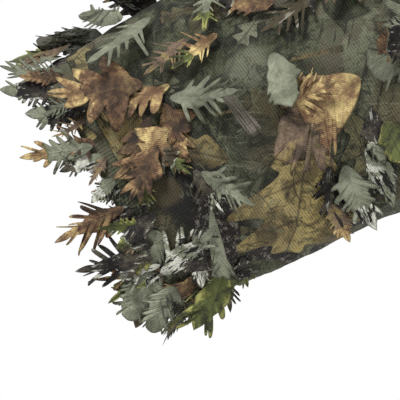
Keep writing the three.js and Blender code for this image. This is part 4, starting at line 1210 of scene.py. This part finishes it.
def strewnShape(draw, kind):
    forms = [leafForm(draw, kind, strewn["fingers"], 1.1) for _ in (0, 1)]
    halves = []
    for side, form in zip((1, -1), forms):
        places, lengths, wides, blunt = form["teeth"]
        keys = (places[:, None] + wides[:, None] * stationsPerFinger).ravel()
        station = np.maximum.accumulate(np.clip(np.concatenate([[0.0, 0.06], keys, [0.86, 0.93, 1.0]]), 0, 1))
        halves.append(bladePoints(station, form, 2, side))
    return [np.concatenate([left[:, ::-1], right[:, 1:]], 1) for left, right in zip(*halves)]


kinds = ("hand", "oak", "comb", "hand", "oak", "fan", "comb", "hand")
shapes = [np.stack(part) for part in zip(*[strewnShape(shapeDraw, kinds[k % 8]) for k in range(strewn["shapes"])])]
rowCount, columnCount = shapes[0].shape[1:]


pressed = {"front": 0.153, "back": 0.141, "give": 0.012}


def pressFlat(points):
    # flaps that stand out past the belly or the seat lie flatter: y' = limit + give * (1 - exp(-excess / give))
    y = points[..., 1]
    for limit, sign in ((pressed["front"], -1), (pressed["back"], 1)):
        excess = np.clip(sign * y - limit, 0, None)
        y = np.where(excess > 0, sign * (limit + pressed["give"] * (1 - np.exp(-excess / pressed["give"]))), y)
    return np.stack([points[..., 0], y, points[..., 2]], -1)


def strewLeaves(name, cloth, surface, low, high, seed, keep=None, spacing=strewn["spacing"], down=1.0, off=0.0035,
                spread=75, sizes=(strewn["small"], strewn["large"])):
    # rows down the surface, each with as many flaps round it as its girth holds; each place jittered
    draw = np.random.default_rng(seed)
    probe = np.linspace(low, high, 60)
    line = surface(probe, np.full(60, 1.5 * np.pi), 0.0)
    rows = max(1, int(lengthOf(line) / spacing))
    places = []
    for row in (np.arange(rows) + 0.5) / rows:
        p = low + (high - low) * row
        ring = surface(np.full(49, p), np.linspace(0, 2 * np.pi, 49), 0.0)
        count = max(3, int(lengthOf(ring) / spacing))
        turn = (np.arange(count) + draw.uniform() + draw.uniform(-0.35, 0.35, count)) / count * 2 * np.pi
        places.append(np.stack([p + draw.uniform(-0.35, 0.35, count) * (high - low) / rows, turn], -1))
    places = np.concatenate(places)
    p, turn = np.clip(places[:, 0], low, high), places[:, 1]
    base, out, ahead = surfaceFrame(surface, p, turn, off + draw.uniform(0, 0.003, len(p)))
    middle = np.stack([surface(p, turn + a, 0.0) for a in np.linspace(0, 2 * np.pi, 8, endpoint=False)]).mean(0)
    out = np.where(((base - middle) * out).sum(-1, keepdims=True) < 0, -out, out)
    if keep is not None:
        chosen = keep(base, out, p, turn)
        p, turn, base, out, ahead = p[chosen], turn[chosen], base[chosen], out[chosen], ahead[chosen]
    count = len(p)
    heading = np.radians(draw.normal(0, spread * 0.6, count))[:, None]
    tilt = np.radians(draw.uniform(7, 24, count))[:, None]
    ahead = unit(down * ahead * np.cos(heading) + np.cross(out, ahead) * np.sin(heading))
    ahead, out = unit(ahead * np.cos(tilt) + out * np.sin(tilt)), unit(out * np.cos(tilt) - ahead * np.sin(tilt))
    length = draw.uniform(*sizes, count)
    pick = draw.integers(0, strewn["shapes"], count)
    x, y, finger, rim = [part[pick] for part in shapes]
    bend, cup, twist, droop = [draw.uniform(a, b, count)[:, None, None] for a, b in (
        (-0.04, 0.14), (0.0, 0.16), (-0.5, 0.5), (-0.5, 0.7))]
    y = y + draw.uniform(-0.15, 0.15, count)[:, None, None] * x ** 2
    z = bend * x ** 2 - cup * y ** 2 / 0.3 + twist * x * y + droop * finger
    local = np.stack([x, y, z], -1) * length[:, None, None, None]
    world = pressFlat(placed(local, base[:, None, None], ahead[:, None, None], out[:, None, None]))
    one = gridFaces(rowCount, columnCount)[0][..., [0, 3, 2, 1]].reshape(-1, 4)
    size = rowCount * columnCount
    faces = (one[None] + (np.arange(count) * size)[:, None, None]).reshape(-1, 4)
    uvs = local[..., :2].reshape(-1, 2)[faces]
    lookBase = draw.choice(len(strewn["looks"]), count, p=strewn["looks"])
    lookTip = np.where(draw.uniform(size=count) < strewn["plain"], lookBase,
                       draw.integers(0, len(strewn["looks"]), count))
    attributes = {"lot": draw.uniform(0, 1, count), "lookBase": lookBase, "lookTip": lookTip}
    attributes = {key: np.repeat(values, size).astype(float) for key, values in attributes.items()}
    attributes.update(reach=x.ravel(), rim=rim.ravel())
    piece = meshPiece(name, world.reshape(-1, 3), faces, uvs, finishes["leaf"], attributes)
    strewnPieces[cloth] = piece
    strewnCounts.append(count)
    return piece


def offZip(base, out, p, turn):
    return ~((np.abs(base[:, 0]) < 0.030) & (base[:, 1] < 0)) & ~inSleeve(base, -0.03)


def offTrunk(base, out, p, turn):
    return ~inTrunk(base, -0.012)


def offFace(base, out, p, turn):
    grown = (np.abs(base[:, 0]) < 0.108) & (base[:, 1] < -0.045) & (base[:, 2] > 0.062) & (base[:, 2] < 0.326)
    return ~grown


def offInseam(base, out, p, turn):
    return np.abs(base[:, 0]) > 0.035


def offHandSewn(base, out, p, turn):
    # leaves the front of the right forearm to the flaps sewn by hand; in millimetres
    cuffDistance = (sleeve["length"] - p) * 1000
    tall = sleeve["tall"] + (sleeve["tallCuff"] - sleeve["tall"]) * p / sleeve["length"]
    across = tall * np.cos(turn) * 1000
    front = base[:, 1] < 0.0
    under = (np.cos(turn) < -0.5) & (cuffDistance > 60)
    return ~(front & (across < 108 - 0.5175 * cuffDistance) & (cuffDistance < 222)) & (cuffDistance > 6) & ~under


piece = strewLeaves("jacketLeaves", "jacketCloth", trunkPoint, 0.03, 0.985, 101, offZip)
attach(piece, "jacket")
piece = strewLeaves("hoodLeaves", "hoodCloth", hoodPoint, gussetShare + 0.02, 0.98, 102, offFace, spacing=0.038,
                    down=-1.0)
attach(piece, "hood")
for word, side in sides.items():
    piece = strewLeaves(f"{word}SleeveLeaves", f"{word}SleeveCloth", partial(sleevePoint, side), -0.05, 0.298,
                        110 + side, offTrunk)
    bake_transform(piece)
    piece = strewLeaves(f"{word}ForearmLeaves", f"{word}ForearmCloth", partial(sleevePoint, side),
                        sleeve["elbowStart"], 0.578, 120 + side, offHandSewn if word == "right" else None,
                        spacing=0.035)
    start, end = [tuple(sleevePoint(side, np.array(along), np.array(0.0)) * 0.5
                        + sleevePoint(side, np.array(along), np.array(np.pi)) * 0.5)
                  for along in (sleeve["elbowStart"], sleeve["elbowEnd"])]
    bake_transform(piece)
    piece = strewLeaves(f"{word}HipLeaves", f"{word}HipCloth", partial(legPoint, side), 0.80, 1.058, 130 + side,
                        offInseam)
    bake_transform(piece)
    piece = strewLeaves(f"{word}ShinLeaves", f"{word}ShinCloth", partial(legPoint, side), leg["kneeStart"], 1.405,
                        140 + side, offInseam)
    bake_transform(piece)
for word, side in sides.items():
    piece = strewLeaves(f"{word}CuffLeaves", f"{word}CuffBand", partial(sleevePoint, side), 0.566, 0.576, 150 + side,
                        spacing=0.013, off=0.002, spread=34, sizes=(0.018, 0.034))
    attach(piece, f"{word}_forearm")
    piece = strewLeaves(f"{word}LegCuffLeaves", f"{word}LegCuff", partial(legPoint, side), 1.400, 1.412, 160 + side,
                        spacing=0.026, off=0.003, spread=30, sizes=(0.022, 0.036))
    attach(piece, f"{word}_shin")
piece = strewLeaves("seatLeaves", "trouserSeatCloth", seatPoint, 0.86, 0.99, 103)
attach(piece, "trouser_seat")
print("strewn leaves:", sum(strewnCounts))

for name, cloth in clothPieces.items():
    going = [strewnPieces[name]] if name in strewnPieces else []
    if name == "rightForearmCloth":
        going += heroPieces
    if name == "hoodCloth":
        going += [crownPatch, binding]


# ---------- stage ----------

stage = {"lens": 110.0, "target": (-0.6923, -0.055, -0.4737), "wide": 0.267, "floor": -1.87, "floorSize": 2.6}
camera = bpy.data.objects.new("camera", bpy.data.cameras.new("camera"))
bpy.context.scene.collection.objects.link(camera)
camera.data.lens = stage["lens"]
camera.data.sensor_width = 36.0
distance = stage["wide"] * stage["lens"] / 36.0
camera.location = (stage["target"][0], stage["target"][1] - distance, stage["target"][2])
camera.rotation_euler = (math.pi / 2, 0, 0)
camera.data.clip_start = 0.01
bpy.context.scene.camera = camera

floorMaterial = Finish("paleFloor", 0.9)
floorMaterial.shader.inputs["Base Color"].default_value = (0.86, 0.86, 0.85, 1)
size = stage["floorSize"]
floorMesh = bpy.data.meshes.new("floor")
floorMesh.from_pydata([(-size, -size, stage["floor"]), (size, -size, stage["floor"]), (size, size, stage["floor"]),
                       (-size, size, stage["floor"])], [], [(0, 1, 2, 3)])
floorMesh.materials.append(floorMaterial.material)
floor = bpy.data.objects.new("floor", floorMesh)
bpy.context.scene.collection.objects.link(floor)
floor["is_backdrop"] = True


def areaLight(name, place, target, size, power):
    light = bpy.data.lights.new(name, "AREA")
    light.energy = power
    light.size = size
    lamp = bpy.data.objects.new(name, light)
    bpy.context.scene.collection.objects.link(lamp)
    lamp.location = place
    lamp.rotation_euler = (Vector(target) - Vector(place)).to_track_quat("-Z", "Y").to_euler()


areaLight("keyLight", (-1.9, -2.7, 2.4), (-0.3, 0, -0.5), 1.2, 315)
areaLight("fillLight", (2.6, -2.6, 0.6), (0, 0, -0.6), 2.4, 50)
areaLight("backLight", (0.6, 3.2, 1.8), (0, 0, -0.5), 2.0, 180)
world = bpy.data.worlds.new("studio")
bpy.context.scene.world = world
world.use_nodes = True
world.node_tree.nodes["Background"].inputs[0].default_value = (1.0, 1.0, 1.0, 1.0)
world.node_tree.nodes["Background"].inputs[1].default_value = 1.0
bpy.context.scene.view_settings.view_transform = "Standard"

low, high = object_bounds()
